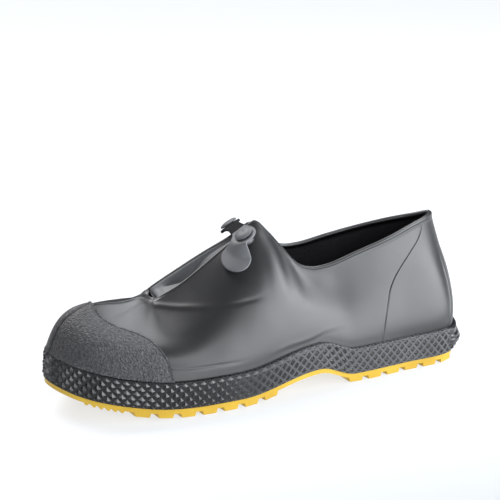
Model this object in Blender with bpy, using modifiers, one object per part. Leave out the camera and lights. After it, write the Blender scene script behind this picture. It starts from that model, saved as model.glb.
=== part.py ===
"""Left overboot: a low moulded overshoe with a buttoned instep strap, standing empty on its sole.

Metres, +Z up. The toe points to -X, the heel to +X and the outer side of the foot to -Y.
The origin is on the floor, under the middle of the shoe.
"""

import functools
import math
from collections import namedtuple

import bmesh
import bpy
import numpy as np
from mathutils import Vector
from mathutils.bvhtree import BVHTree

MM = 0.001

# Driving sizes
LENGTH = 311 * MM
BALL_WIDTH = 110 * MM
INSTEP_HEIGHT = 115 * MM
GAP = 0.3 * MM
TUCK_GAP = 0.45 * MM

# Sole
LUG_DEPTH = 3.2 * MM
PLATE_THICK = 3.3 * MM
OUTSOLE_INSET = 2.0 * MM
BAND_HEIGHT = 19.3 * MM
BAND_WALL = 2.6 * MM
BAND_DRAFT = 1.2 * MM
FLOOR_THICK = 5.0 * MM
TOE_SPRING = 17.0 * MM
SPRING_STARTS_AT = 0.334
ARCH_RISE = 9.0 * MM
ARCH_FROM, ARCH_TOP, ARCH_TO = 0.400, 0.596, 0.689

# Studs on the side of the sole, and the kick-off spur behind the heel
STUD_PITCH = 6.4 * MM
STUD_ROWS = 6
STUD_HEIGHT = 1.2 * MM
TOE_LEAN = 1.7 * MM
TOE_LEAN_ENDS_AT = 0.16
SPUR_REACH = 4.0 * MM
SPUR_HALF_WIDTH = 0.125
SPUR_SHOULDER = 0.42
SPUR_FROM, SPUR_FULL, SPUR_LAST, SPUR_TO = 0.16, 0.36, 0.46, 0.86

# Upper
WALL = 2.0 * MM
TOP_OFFSET = 4.0 * MM
OVERLAY_GAP = 0.7 * MM
CAP_THICK = 0.8 * MM
STAY_THICK = 0.8 * MM
STAY_TOP = 0.66
OVERLAY_FOOT = 0.02

# Gusset, strap and buttons
GUSSET_THICK = 1.2 * MM
GUSSET_LAP = 0.90
GUSSET_FROM, GUSSET_TO = 0.262, 0.458
STRAP_THICK = 2.0 * MM
STRAP_LIFT = 2.45 * MM
STRAP_AT = 0.458
RING_RADIUS = 8.4 * MM
RING_LIFT = 2.7 * MM
RING_EASE = 9.0 * MM
BUTTON_PULL = 0.8
HOLE_RADIUS = 3.7 * MM
HOLE_CORNERS = 10
STEM_RADIUS = 3.2 * MM
HEAD_RADIUS = 6.6 * MM
HEAD_THICK = 2.4 * MM
HEAD_CLEARANCE = 0.8 * MM
BUTTON_SEAT = 1.9 * MM
BUTTON_FROM_EDGE = 8.3 * MM

# Outline of the studded band's base, round the sole from the toe by the outer side.
# along is a share of LENGTH from the toe, across a share of BALL_WIDTH, minus on the outer side.
OutlinePoint = namedtuple("OutlinePoint", "name along across")
OUTLINE = [
    OutlinePoint("toe tip", 0.000, -0.012),
    OutlinePoint("outer toe", 0.039, -0.264),
    OutlinePoint("little toe", 0.190, -0.473),
    OutlinePoint("outer ball", 0.351, -0.500),
    OutlinePoint("outer waist", 0.592, -0.436),
    OutlinePoint("outer heel", 0.817, -0.382),
    OutlinePoint("outer heel corner", 0.962, -0.309),
    OutlinePoint("heel back", 1.000, -0.018),
    OutlinePoint("inner heel corner", 0.961, 0.263),
    OutlinePoint("inner heel", 0.817, 0.350),
    OutlinePoint("inner waist", 0.576, 0.345),
    OutlinePoint("inner ball", 0.303, 0.500),
    OutlinePoint("big toe", 0.131, 0.405),
    OutlinePoint("inner toe", 0.037, 0.190),
]
HEEL_BACK_INDEX = 7

# Sections of the upper on one side, from the toe to the heel. Each rises from the top of the band,
# a share foot of the way round that side, to the edge of throat or collar at along, across and height
# (shares of LENGTH, BALL_WIDTH and INSTEP_HEIGHT). inner_drop (mm) is how much lower the inner side ends.
# rise is the slope at the top in degrees, from level to upright. low_pull and top_pull (mm) say how far
# the section keeps its direction at foot and top, and low_out (mm) how far it first leans outwards.
Section = namedtuple("Section", "foot along across height inner_drop rise low_pull low_out top_pull")
SECTIONS = [
    Section(0.000, 0.251, 0.000, 0.598, 0.0, -5, 29, -10, 57),
    Section(0.100, 0.251, 0.023, 0.599, 0.0, 11, 29, -8, 49),
    Section(0.200, 0.253, 0.045, 0.602, -0.8, 27, 28, -4, 42),
    Section(0.290, 0.261, 0.073, 0.611, -2.0, 36, 27, -1, 37),
    Section(0.350, 0.312, 0.086, 0.677, -2.0, 35, 28, 0, 35),
    Section(0.410, 0.389, 0.077, 0.812, 1.0, 31, 32, 0, 33),
    Section(0.455, 0.458, 0.046, 0.926, 2.5, 25, 35, 0, 31),
    Section(0.480, 0.494, 0.046, 0.998, 4.0, 29, 36, 0, 31),
    Section(0.505, 0.520, 0.085, 0.935, 3.0, 22, 34, 0, 22),
    Section(0.535, 0.548, 0.145, 0.835, 0.0, 42, 30, 0, 23),
    Section(0.565, 0.574, 0.200, 0.748, -3.0, 60, 26, 0, 25),
    Section(0.595, 0.602, 0.218, 0.711, -3.0, 72, 24, 0, 24),
    Section(0.635, 0.643, 0.227, 0.712, -2.0, 78, 24, 0, 24),
    Section(0.700, 0.721, 0.227, 0.770, 0.8, 79, 26, 0, 25),
    Section(0.780, 0.801, 0.218, 0.829, 3.7, 80, 27, 1, 26),
    Section(0.860, 0.872, 0.168, 0.876, 4.8, 78, 28, 3, 26),
    Section(0.930, 0.927, 0.100, 0.898, 3.8, 74, 29, 4, 26),
    Section(1.000, 0.956, 0.000, 0.899, 0.0, 72, 30, 5, 26),
]
# Shares round the sole over which the edge is averaged, to keep its peaks out of the walls below.
SOFTEN = (-0.04, -0.02, 0.0, 0.02, 0.04)

# Edge of the toe cap on the upper: v is how far up the section it lies at that foot.
EdgePoint = namedtuple("EdgePoint", "foot v")
CAP_EDGE = [
    EdgePoint(0.000, 0.668),
    EdgePoint(0.030, 0.662),
    EdgePoint(0.060, 0.638),
    EdgePoint(0.090, 0.620),
    EdgePoint(0.125, 0.617),
    EdgePoint(0.160, 0.615),
    EdgePoint(0.185, 0.608),
    EdgePoint(0.205, 0.584),
    EdgePoint(0.220, 0.553),
    EdgePoint(0.232, 0.520),
    EdgePoint(0.243, 0.465),
    EdgePoint(0.253, 0.390),
    EdgePoint(0.262, 0.295),
    EdgePoint(0.269, 0.200),
    EdgePoint(0.273, 0.070),
    EdgePoint(0.276, 0.000),
]

# Half width of the heel stay, as a share of the way round one side, by how far up the section it is.
StayWidth = namedtuple("StayWidth", "v half_share")
STAY_WIDTHS = [
    StayWidth(0.00, 0.108),
    StayWidth(0.15, 0.104),
    StayWidth(0.28, 0.093),
    StayWidth(0.38, 0.085),
    StayWidth(0.51, 0.078),
    StayWidth(0.61, 0.068),
    StayWidth(0.70, 0.055),
]

# Fold of the gusset between the throat's edges: how deep its middle drops below the edges (mm).
Fold = namedtuple("Fold", "foot depth")
GUSSET_FOLDS = [
    Fold(0.00, 2.0),
    Fold(0.245, 1.6),
    Fold(0.275, 0.6),
    Fold(0.295, -0.8),
    Fold(0.315, 0.0),
    Fold(0.34, 4.5),
    Fold(0.365, 6.5),
    Fold(0.39, 4.0),
    Fold(0.41, 1.5),
    Fold(0.43, 0.8),
    Fold(0.46, 0.8),
    Fold(0.49, 0.8),
]

# Outline of the strap laid flat, round from its inner end by the toe side, in mm from one of the two buttons.
# along counts towards the outer side of the foot, across towards the collar.
StrapPoint = namedtuple("StrapPoint", "name button along across")
STRAP_EDGE = [
    StrapPoint("inner end", "inner", -8.4, 0.0),
    StrapPoint("inner ring", "inner", -5.9, -5.9),
    StrapPoint("inner ring", "inner", 0.0, -8.2),
    StrapPoint("inner ring", "inner", 6.0, -6.2),
    StrapPoint("middle", "outer", -12.5, -5.2),
    StrapPoint("outer ring", "outer", -6.4, -6.2),
    StrapPoint("neck", "outer", -3.4, -9.7),
    StrapPoint("tab", "outer", -3.2, -14.1),
    StrapPoint("tab", "outer", -1.3, -20.1),
    StrapPoint("tab", "outer", 2.7, -23.9),
    StrapPoint("tab tip", "outer", 8.1, -25.2),
    StrapPoint("tab", "outer", 13.3, -23.7),
    StrapPoint("tab", "outer", 17.1, -19.7),
    StrapPoint("tab", "outer", 18.4, -14.3),
    StrapPoint("tab", "outer", 16.6, -9.3),
    StrapPoint("tab", "outer", 12.4, -5.4),
    StrapPoint("neck", "outer", 8.6, -2.9),
    StrapPoint("outer ring", "outer", 8.2, 1.8),
    StrapPoint("outer ring", "outer", 5.4, 6.4),
    StrapPoint("outer ring", "outer", 0.0, 8.4),
    StrapPoint("outer ring", "outer", -6.2, 6.4),
    StrapPoint("middle", "outer", -12.5, 5.2),
    StrapPoint("inner ring", "inner", 6.0, 6.2),
    StrapPoint("inner ring", "inner", 0.0, 8.2),
    StrapPoint("inner ring", "inner", -5.9, 5.9),
]
STRAP_CORNERS = 40
STRAP_BENDS = 9

# Runs of lugs across the tread, as shares of the tread's length; wall (mm) is how far a side slants,
# and stations says at how many places along a lug's face it follows the sole.
LugRun = namedtuple("LugRun", "name start end count lug_share wall stations")
LUG_RUNS = [
    LugRun("toe serrations", 0.056, 0.139, 6, 0.20, 1.5, 2),
    LugRun("forefoot bars", 0.1515, 0.5015, 7, 0.65, 1.2, 2),
    LugRun("heel bars", 0.674, 0.980, 6, 0.68, 1.2, 3),
]
CHEVRON = 9 * MM
# Plain stations round the two ends of the tread, as angles (degrees) of a half circle along it.
TOE_STATIONS = (6, 12, 19, 26)
HEEL_STATIONS = (6, 12, 19)
WAIST_STATIONS = 8

# How closely the upper's columns stand, by their share of the way from toe to heel.
Density = namedtuple("Density", "share weight")
COLUMN_DENSITY = [
    Density(0.00, 1.5),
    Density(0.28, 1.3),
    Density(0.42, 1.5),
    Density(0.60, 1.5),
    Density(0.70, 0.8),
    Density(0.85, 1.0),
    Density(1.00, 1.3),
]
UPPER_COLUMNS = 76
UPPER_ROWS = 10
CAP_COLUMNS = 30
CAP_ROWS = 7
CAP_CROWDING = 0.4
STAY_COLUMNS = 10
STAY_ROWS = 6
GUSSET_COLUMNS = 17
SHARP_ANGLE = 22


# Curves

def smooth(knots, values, at):
    """A cubic through the values at increasing knots, with slopes taken from the neighbours."""
    knots = np.asarray(knots, float)
    values = np.asarray(values, float)
    slopes = np.gradient(values, knots, axis=0)
    i = int(np.clip(np.searchsorted(knots, at) - 1, 0, len(knots) - 2))
    width = knots[i + 1] - knots[i]
    t = (at - knots[i]) / width
    rest = 1 - t
    start = values[i] * (1 + 2 * t) + slopes[i] * width * t
    end = values[i + 1] * (1 + 2 * rest) - slopes[i + 1] * width * rest
    return start * rest * rest + end * t * t


def ease(t):
    """Goes smoothly from 0 to 1 as t does."""
    t = min(max(t, 0.0), 1.0)
    return t * t * (3 - 2 * t)


def x_of(along):
    """x at a share of the length; the spur behind the heel counts in the overall length."""
    return (along - 0.5) * LENGTH - SPUR_REACH / 2


def along_of(x):
    return (x + SPUR_REACH / 2) / LENGTH + 0.5


def outline_loop(samples=720):
    """The outline as closely spaced points with their share of the way round: 0 toe, 1 heel, 2 toe."""
    rows = np.array([(x_of(p.along), p.across * BALL_WIDTH) for p in OUTLINE])
    wrap = 3
    points = np.concatenate([rows[-wrap:], rows, rows[: wrap + 1]])
    knots = np.concatenate([[0], np.cumsum(np.hypot(*np.diff(points, axis=0).T))])
    ats = np.linspace(knots[wrap], knots[wrap + len(rows)], samples + 1)
    loop = np.array([smooth(knots, points, at) for at in ats])
    run = np.concatenate([[0], np.cumsum(np.hypot(*np.diff(loop, axis=0).T))])
    heel = np.interp(knots[wrap + HEEL_BACK_INDEX], ats, run)
    share = np.where(run <= heel, run / heel, 1 + (run - heel) / (run[-1] - heel))
    return loop, share, run[-1]


LOOP, LOOP_SHARE, LOOP_LENGTH = outline_loop()


def outline(share, inset=0.0):
    """(x, y) on the outline at that share of the way round, moved inwards by inset."""
    step = 0.004

    def at(s):
        s = s % 2
        return np.array([np.interp(s, LOOP_SHARE, LOOP[:, k]) for k in (0, 1)])

    along = at(share + step) - at(share - step)
    outwards = np.array([along[1], -along[0]]) / np.hypot(*along)
    return at(share) - outwards * inset


def sole_lift(x):
    """How far the sole has left the floor at x: toe spring in front, the arch under the waist."""
    along = along_of(x)
    spring = max(SPRING_STARTS_AT - along, 0) / SPRING_STARTS_AT
    if along < ARCH_TOP:
        arch = ease((along - ARCH_FROM) / (ARCH_TOP - ARCH_FROM))
    else:
        arch = ease((ARCH_TO - along) / (ARCH_TO - ARCH_TOP))
    return TOE_SPRING * spring**2 + ARCH_RISE * arch


def band_low(x):
    return sole_lift(x) + LUG_DEPTH + PLATE_THICK + GAP


def band_top(x):
    return band_low(x) + BAND_HEIGHT


def floor_top(x):
    return band_low(x) + FLOOR_THICK


# The upper's surface

def mirrored(knots, values, odd):
    """The rows carried on past toe and heel, so that the surface crosses both centre lines smoothly."""
    sign = -1 if odd else 1
    knots = np.concatenate([-knots[2:0:-1], knots, 2 - knots[-2:-4:-1]])
    values = np.concatenate([sign * values[2:0:-1], values, sign * values[-2:-4:-1]])
    return knots, values


FEET = np.array([s.foot for s in SECTIONS])
COLUMNS = {
    name: mirrored(FEET, np.array([getattr(s, name) for s in SECTIONS]), name == "across")
    for name in Section._fields[1:]
}


def foot_of(share):
    """The share as it counts on either side, from 0 at the toe to 1 at the heel."""
    share = share % 2
    return share if share <= 1 else 2 - share


@functools.cache
def top_edge(share):
    """The point of the throat's or collar's edge over that share of the way round the sole."""
    inner = share % 2 > 1
    along, across, height, inner_drop = (
        float(smooth(*COLUMNS[name], foot_of(share))) for name in ("along", "across", "height", "inner_drop")
    )
    side = 1 if inner else -1
    y = side * across * BALL_WIDTH + TOP_OFFSET
    return np.array([x_of(along), y, height * INSTEP_HEIGHT - inner_drop * MM * inner])


@functools.cache
def section(share):
    """The four control points of the upper's section at that share of the way round the sole."""
    rise, low_pull, low_out, top_pull = (
        float(smooth(*COLUMNS[name], foot_of(share))) for name in ("rise", "low_pull", "low_out", "top_pull")
    )
    x, y = outline(share, BAND_WALL + TUCK_GAP)
    low = np.array([x, y, band_top(x)])
    soft_top = sum(top_edge(share + step) for step in SOFTEN) / len(SOFTEN)
    inwards = (soft_top - low) * [1, 1, 0]
    inwards /= np.linalg.norm(inwards)
    rise = math.radians(rise)
    arrive = inwards * math.cos(rise) + np.array([0, 0, math.sin(rise)])
    bulge = outline(share, BAND_WALL + TUCK_GAP - low_out * MM)
    start = np.array([*bulge, low[2] + low_pull * MM])
    return low, start, soft_top - arrive * top_pull * MM, top_edge(share)


def skin(share, v, lift=0.0):
    """A point of the upper's outside at v of the way from band to top edge, lifted off it by lift."""
    def at(s, t):
        a, b, c, d = section(s)
        r = 1 - t
        return a * r**3 + b * (3 * r * r * t) + c * (3 * r * t * t) + d * t**3

    point = at(share, v)
    if not lift:
        return point
    step = 0.003
    around = at(share + step, v) - at(share - step, v)
    upwards = at(share, min(v + step, 1)) - at(share, max(v - step, 0))
    normal = np.cross(around, upwards)
    return point + normal / np.linalg.norm(normal) * lift


# Mesh helpers

def material(name, colour, roughness):
    made = bpy.data.materials.new(name)
    made.use_nodes = True
    shader = made.node_tree.nodes["Principled BSDF"]
    shader.inputs["Base Color"].default_value = (*colour, 1)
    shader.inputs["Roughness"].default_value = roughness
    shader.inputs["Metallic"].default_value = 0.0
    return made


def add_object(name, bm, finish, collection):
    """Turns a bmesh into a named object in the collection."""
    bmesh.ops.recalc_face_normals(bm, faces=bm.faces)
    mesh = bpy.data.meshes.new(name)
    bm.to_mesh(mesh)
    bm.free()
    mesh.materials.append(finish)
    mesh.shade_smooth()
    mesh.set_sharp_from_angle(angle=math.radians(SHARP_ANGLE))
    made = bpy.data.objects.new(name, mesh)
    collection.objects.link(made)
    return made


def loft(bm, columns, closed):
    """Quads between neighbouring columns of points, all of one length. closed joins last to first."""
    rows = [[bm.verts.new(p) for p in column] for column in columns]
    pairs = list(zip(rows, rows[1:])) + ([(rows[-1], rows[0])] if closed else [])
    for one, two in pairs:
        for a, b, c, d in zip(one, two, two[1:], one[1:]):
            bm.faces.new((a, b, c, d))
    return rows


def add_shell(name, columns, closed, thickness, outwards, finish, collection):
    """An open lofted surface made a wall by Solidify, on its outer or its inner side."""
    bm = bmesh.new()
    loft(bm, columns, closed)
    mesh = bpy.data.meshes.new(name)
    bm.to_mesh(mesh)
    bm.free()
    mesh.materials.append(finish)
    mesh.shade_smooth()
    made = bpy.data.objects.new(name, mesh)
    collection.objects.link(made)
    wall = made.modifiers.new("Wall", "SOLIDIFY")
    wall.thickness = thickness
    wall.offset = 1 if outwards else -1
    wall.use_even_offset = True
    wall.use_quality_normals = True
    return made


# Sole

def spur(share, height):
    """How far the kick-off spur stands out at a share round the sole and a share up the band."""
    sideways = ease((1 - abs(share - 1) / SPUR_HALF_WIDTH) / SPUR_SHOULDER)
    up = ease((height - SPUR_FROM) / (SPUR_FULL - SPUR_FROM))
    down = ease((SPUR_TO - height) / (SPUR_TO - SPUR_LAST))
    return SPUR_REACH * sideways * up * down


def band_inset(x, height):
    """How far the band's side leans in at x: its foot all round, and its top at the toe."""
    toe = ease(1 - along_of(x) / TOE_LEAN_ENDS_AT)
    return BAND_DRAFT * (1 - height) * (1 - toe) + TOE_LEAN * height * toe


def band_column(share, column):
    """Points up the studded side of the band: studs stand on every other point, row by row."""
    points = []
    rows = STUD_ROWS + 1
    base_x = outline(share)[0]
    for row in range(rows + 1):
        height = row / rows
        stud = 0 < row < rows and (row + column) % 2 == 0
        out = STUD_HEIGHT * stud + spur(share, height) - band_inset(base_x, height)
        x, y = outline(share, -out)
        points.append((x, y, band_low(base_x) + BAND_HEIGHT * height))
    return points


def add_stud_faces(bm, side):
    """Four faces to each stud: every square of the band is cut along its two low corners."""
    for i, one in enumerate(side):
        two = side[(i + 1) % len(side)]
        for k in range(len(one) - 1):
            a, b, c, d = one[k], two[k], two[k + 1], one[k + 1]
            stud_at_a = (i + k) % 2 == 0
            for corners in ([(a, b, d), (b, c, d)] if stud_at_a else [(a, b, c), (a, c, d)]):
                bm.faces.new(corners)


def build_midsole(finish, collection):
    """The black studded band with the floor that closes the upper from below, as one shallow tray."""
    half_studs = 4 * round(LOOP_LENGTH / STUD_PITCH / 2)
    shares = [2 * i / half_studs for i in range(half_studs)]
    bm = bmesh.new()
    side = [[bm.verts.new(p) for p in band_column(s, i)] for i, s in enumerate(shares)]
    add_stud_faces(bm, side)
    inner = []
    for share in shares[::2]:
        x, y = outline(share, BAND_WALL)
        inner.append([bm.verts.new((x, y, band_top(x))), bm.verts.new((x, y, floor_top(x)))])
    count = len(inner)
    for j in range(count):
        k = (j + 1) % count
        first, middle, last = (side[(2 * j + n) % half_studs] for n in range(3))
        bm.faces.new((first[-1], middle[-1], last[-1], inner[k][0], inner[j][0]))
        bm.faces.new((inner[j][0], inner[k][0], inner[k][1], inner[j][1]))
    cross_fill(bm, [pair[1] for pair in inner])
    cross_fill(bm, [column[0] for column in side])
    return add_object("midsole", bm, finish, collection)


def cross_fill(bm, ring):
    """Closes a ring that starts at the toe with strips across the shoe from side to side."""
    half = len(ring) // 2
    for i in range(half):
        near = [ring[i], ring[i + 1]]
        far = [ring[-i - 1], ring[-i]]
        corners = list(dict.fromkeys(near + far))
        bm.faces.new(corners)


def round_the_end(angles):
    return [0.5 - 0.5 * math.cos(math.radians(angle)) for angle in angles]


def tread_stations():
    """(x, is_lug) along the tread: four stations a lug, with plain ones at toe, waist and heel."""
    toe, heel = (outline(share, OUTSOLE_INSET)[0] for share in (0, 1))
    waist = np.linspace(LUG_RUNS[1].end, LUG_RUNS[2].start, WAIST_STATIONS + 2)[1:-1]
    plain = round_the_end(TOE_STATIONS) + [1 - end for end in round_the_end(HEEL_STATIONS)] + list(waist)
    stations = [(share, False) for share in plain]
    for run in LUG_RUNS:
        pitch = (run.end - run.start) / run.count
        wall = run.wall * MM / LENGTH
        for i in range(run.count):
            start = run.start + i * pitch
            end = start + pitch * run.lug_share
            stations += [(start - wall, False), (end + wall, False)]
            stations += [(share, True) for share in np.linspace(start, end, run.stations)]
    return [(toe + (heel - toe) * share, lug) for share, lug in sorted(stations)]


def tread_half_widths(x):
    """Distances from the centre line to the outsole's outer and inner edge at x."""
    shares = np.linspace(0, 2, 241)
    edge = np.array([outline(s, OUTSOLE_INSET) for s in shares])
    outer, inner = edge[:121], edge[120:][::-1]
    return [float(np.interp(x, side[:, 0], side[:, 1])) for side in (outer, inner)]


def build_outsole(finish, collection):
    """The outsole plate with its lugs: bars that point to the toe in a shallow V."""
    bm = bmesh.new()
    sections = []
    for x, lug in tread_stations():
        outer, inner = tread_half_widths(x)
        top = sole_lift(x) + LUG_DEPTH + PLATE_THICK
        ring = [(x, inner, top), (x, outer, top)]
        for across in (0.0, 0.25, 0.5, 0.75, 1.0):
            y = outer + (inner - outer) * across
            shift = CHEVRON * (1 - abs(2 * across - 1)) * (inner - outer) / BALL_WIDTH
            bar_x = x - shift * ease((along_of(x) - 0.04) / 0.1)
            low = sole_lift(bar_x) + (0 if lug else LUG_DEPTH)
            ring.append((bar_x, y, low))
        sections.append(ring)
    rings = [[bm.verts.new(p) for p in ring] for ring in sections]
    for one, two in zip(rings, rings[1:]):
        for i in range(len(one)):
            j = (i + 1) % len(one)
            bm.faces.new((one[i], two[i], two[j], one[j]))
    bm.faces.new(rings[0])
    bm.faces.new(rings[-1])
    return add_object("outsole", bm, finish, collection)


# Upper and overlays

def upper_shares():
    """Where the upper's columns stand round the sole, closer together round the toe and the instep."""
    fine = np.linspace(0, 1, 400)
    weights = np.interp(fine, [d.share for d in COLUMN_DENSITY], [d.weight for d in COLUMN_DENSITY])
    run = np.concatenate([[0], np.cumsum(weights[1:])])
    half = UPPER_COLUMNS // 2
    one_side = np.interp(np.linspace(0, run[-1], half + 1), run, fine)
    return list(one_side) + [2 - s for s in one_side[-2:0:-1]]


def build_upper(finish, collection):
    """The moulded upper: one wall, open at collar and throat above and over the midsole below."""
    columns = []
    for share in upper_shares():
        low = skin(share, 0)
        foot = low.copy()
        foot[2] = floor_top(low[0]) + 2 * GAP
        rows = [skin(share, v) for v in np.linspace(0, 1, UPPER_ROWS + 1)]
        columns.append([foot] + rows)
    return add_shell("upper", columns, True, WALL, False, finish, collection)


def cap_columns():
    """(share, v) of the toe cap's corners, column by column from its inner to its outer end."""
    reach = CAP_EDGE[-1].foot
    columns = []
    for t in np.linspace(-1, 1, CAP_COLUMNS + 1):
        share = reach * ((1 - CAP_CROWDING) * t + CAP_CROWDING * math.sin(math.pi / 2 * t))
        edge = np.interp(abs(share), [p.foot for p in CAP_EDGE], [p.v for p in CAP_EDGE])
        top = max(float(edge), 2 * OVERLAY_FOOT)
        columns.append([(share, v) for v in np.linspace(OVERLAY_FOOT, top, CAP_ROWS + 1)])
    return columns


def stay_columns():
    """(share, v) of the heel stay's corners: broad at the band and narrower upwards."""
    heights = np.linspace(OVERLAY_FOOT, STAY_TOP, STAY_ROWS + 1)
    halves = np.interp(heights, [w.v for w in STAY_WIDTHS], [w.half_share for w in STAY_WIDTHS])
    sides = np.linspace(-1, 1, STAY_COLUMNS + 1)
    return [[(1 + side * half, v) for v, half in zip(heights, halves)] for side in sides]


def build_overlay(name, columns, thickness, finish, collection):
    """A raised panel on the upper, in the upper's own form."""
    points = [[skin(share, v, OVERLAY_GAP) for share, v in column] for column in columns]
    return add_shell(name, points, False, thickness, True, finish, collection)


def build_gusset(finish, collection):
    """The folded web that closes the throat under the strap, from the throat's foot to the collar."""
    feet = [f.foot for f in GUSSET_FOLDS]
    depths = [f.depth * MM for f in GUSSET_FOLDS]
    under = -(WALL + 2 * GAP)
    columns = []
    for foot in np.linspace(GUSSET_FROM, GUSSET_TO, GUSSET_COLUMNS):
        laps = (GUSSET_LAP, (1 + GUSSET_LAP) / 2, 1.0)
        outer = [skin(foot, v, under) for v in laps]
        inner = [skin(2 - foot, v, under) for v in reversed(laps)]
        fold = (outer[-1] + inner[0]) / 2
        fold[2] -= float(smooth(feet, depths, foot))
        columns.append(outer + [fold] + inner)
    return add_shell("gusset", columns, False, GUSSET_THICK, False, finish, collection)


# Strap and buttons

StrapLine = namedtuple("StrapLine", "points runs along inner_edge outer_edge")
ButtonSeat = namedtuple("ButtonSeat", "run centre axis")
INNER_HEIGHTS = (0.78, 0.84, 0.90, 0.95, 0.995)
OUTER_HEIGHTS = (0.995, 0.95, 0.90, 0.84, 0.76, 0.68, 0.60, 0.52, 0.44)


def strap_line():
    """The line that the strap follows over both flaps, square to the throat, and the throat's direction."""
    anchor = (skin(STRAP_AT, 1) + skin(2 - STRAP_AT, 1)) / 2
    along = skin(STRAP_AT + 0.02, 1) - skin(STRAP_AT - 0.02, 1)
    along[1] = 0
    along /= np.linalg.norm(along)

    def crossing(v, inner):
        """The point of one flap at v, in the plane square to the throat."""
        near, far = 0.30, 0.50
        for _ in range(30):
            middle = (near + far) / 2
            point = skin(2 - middle if inner else middle, v, STRAP_LIFT)
            near, far = (middle, far) if (point - anchor) @ along < 0 else (near, middle)
        return point

    points = [crossing(v, True) for v in INNER_HEIGHTS] + [crossing(v, False) for v in OUTER_HEIGHTS]
    points = np.array(points)
    runs = np.concatenate([[0], np.cumsum(np.linalg.norm(np.diff(points, axis=0), axis=1))])
    edge = len(INNER_HEIGHTS)
    return StrapLine(points, runs, along, runs[edge - 1], runs[edge])


def closed_curve(points, count):
    """Points at even steps along a smooth closed curve through the given ones."""
    wrap = 3
    points = np.array(points, float)
    points = np.concatenate([points[-wrap:], points, points[: wrap + 1]])
    knots = np.concatenate([[0], np.cumsum(np.hypot(*np.diff(points, axis=0).T))])
    ats = np.linspace(knots[wrap], knots[-wrap - 1], count, endpoint=False)
    return [smooth(knots, points, at) for at in ats]


def flap_tree():
    """Both flaps, lifted to the middle of the strap's thickness, for laying the strap on them."""
    corners = []
    faces = []
    heights = np.linspace(0.40, 1.0, 19)
    for side in (1, -1):
        first = len(corners)
        feet = np.linspace(0.33, 0.53, 21)
        for foot in feet:
            share = foot if side > 0 else 2 - foot
            corners += [Vector(skin(share, v, STRAP_LIFT)) for v in heights]
        rows = len(heights)
        for i in range(len(feet) - 1):
            for j in range(rows - 1):
                a = first + i * rows + j
                faces.append((a, a + rows, a + rows + 1, a + 1))
    return BVHTree.FromPolygons(corners, faces)


def on_flap(line, flaps, run, aside):
    """(point, direction off the shoe) on the flaps at a run along the strap and a distance aside."""
    step = 1 * MM
    ahead = smooth(line.runs, line.points, run + step) - smooth(line.runs, line.points, run - step)
    off = Vector(np.cross(ahead, line.along)).normalized()
    base = Vector(smooth(line.runs, line.points, run) + line.along * aside)
    high = 15 * MM
    hit, normal, _, _ = flaps.ray_cast(base + off * high, -off, 2 * high)
    if hit is None:
        return base, off
    return hit, normal if normal.dot(off) > 0 else -normal


def button_seats(line, flaps):
    """Where the two buttons stand: the strap's pull lifts its rings and leans the buttons together."""
    runs = (line.inner_edge - BUTTON_FROM_EDGE, line.outer_edge + BUTTON_FROM_EDGE)
    places = [on_flap(line, flaps, run, 0) for run in runs]
    upright = (places[0][1] + places[1][1]).normalized()
    return [
        ButtonSeat(run, place + off * RING_LIFT, off.lerp(upright, BUTTON_PULL).normalized())
        for run, (place, off) in zip(runs, places)
    ]


def laid(line, flaps, seats, run, aside):
    """(point, direction off the shoe) of the laid strap at a run along it and a distance aside.

    From button to button it is stretched; beyond its rings it comes down to lie on the flap.
    """
    inner, outer = seats
    ends = []
    for seat in seats:
        ahead = Vector(line.along).cross(seat.axis).normalized()
        ends.append(seat.centre + ahead * (run - seat.run) + seat.axis.cross(ahead) * aside)
    across = min(max((run - inner.run) / (outer.run - inner.run), 0), 1)
    stretched = ends[0].lerp(ends[1], across)
    axis = inner.axis.lerp(outer.axis, across).normalized()
    beyond = math.hypot(max(run - outer.run, inner.run - run, 0), aside)
    down = ease((beyond - RING_RADIUS) / RING_EASE)
    if down == 0:
        return stretched, axis
    place, off = on_flap(line, flaps, run, aside)
    return stretched.lerp(place, down), axis.lerp(off, down).normalized()


def build_strap(line, flaps, seats, finish, collection):
    """The moulded strap: cut flat with its two holes, then bent over the instep."""
    curve = bpy.data.curves.new("strap", "CURVE")
    curve.dimensions = "2D"
    curve.fill_mode = "BOTH"
    curve.extrude = STRAP_THICK / 2

    def add_loop(points):
        spline = curve.splines.new("POLY")
        spline.points.add(len(points) - 1)
        spline.use_cyclic_u = True
        for point, (x, y) in zip(spline.points, points):
            point.co = (x, y, 0, 1)

    runs = {"inner": seats[0].run, "outer": seats[1].run}
    edge = [(runs[p.button] + p.along * MM, p.across * MM) for p in STRAP_EDGE]
    add_loop(closed_curve(edge, STRAP_CORNERS))
    turns = [2 * math.pi * i / HOLE_CORNERS for i in range(HOLE_CORNERS)]
    for run in runs.values():
        add_loop([(run + HOLE_RADIUS * math.cos(t), HOLE_RADIUS * math.sin(t)) for t in turns])

    flat = bpy.data.objects.new("strap flat", curve)
    collection.objects.link(flat)
    bpy.context.view_layer.update()
    mesh = bpy.data.meshes.new_from_object(flat.evaluated_get(bpy.context.evaluated_depsgraph_get()))
    bpy.data.objects.remove(flat)
    bm = bmesh.new()
    bm.from_mesh(mesh)
    bpy.data.meshes.remove(mesh)
    bmesh.ops.remove_doubles(bm, verts=bm.verts, dist=0.01 * MM)
    places = [v.co.x for v in bm.verts]
    for place in np.linspace(min(places), max(places), STRAP_BENDS + 1)[1:-1]:
        whole = bm.verts[:] + bm.edges[:] + bm.faces[:]
        bmesh.ops.bisect_plane(bm, geom=whole, dist=0.01 * MM, plane_co=(place, 0, 0), plane_no=(1, 0, 0))
    for vert in bm.verts:
        base, off = laid(line, flaps, seats, vert.co.x, vert.co.y)
        vert.co = base + off * vert.co.z
    return add_object("strap", bm, finish, collection)


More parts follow.
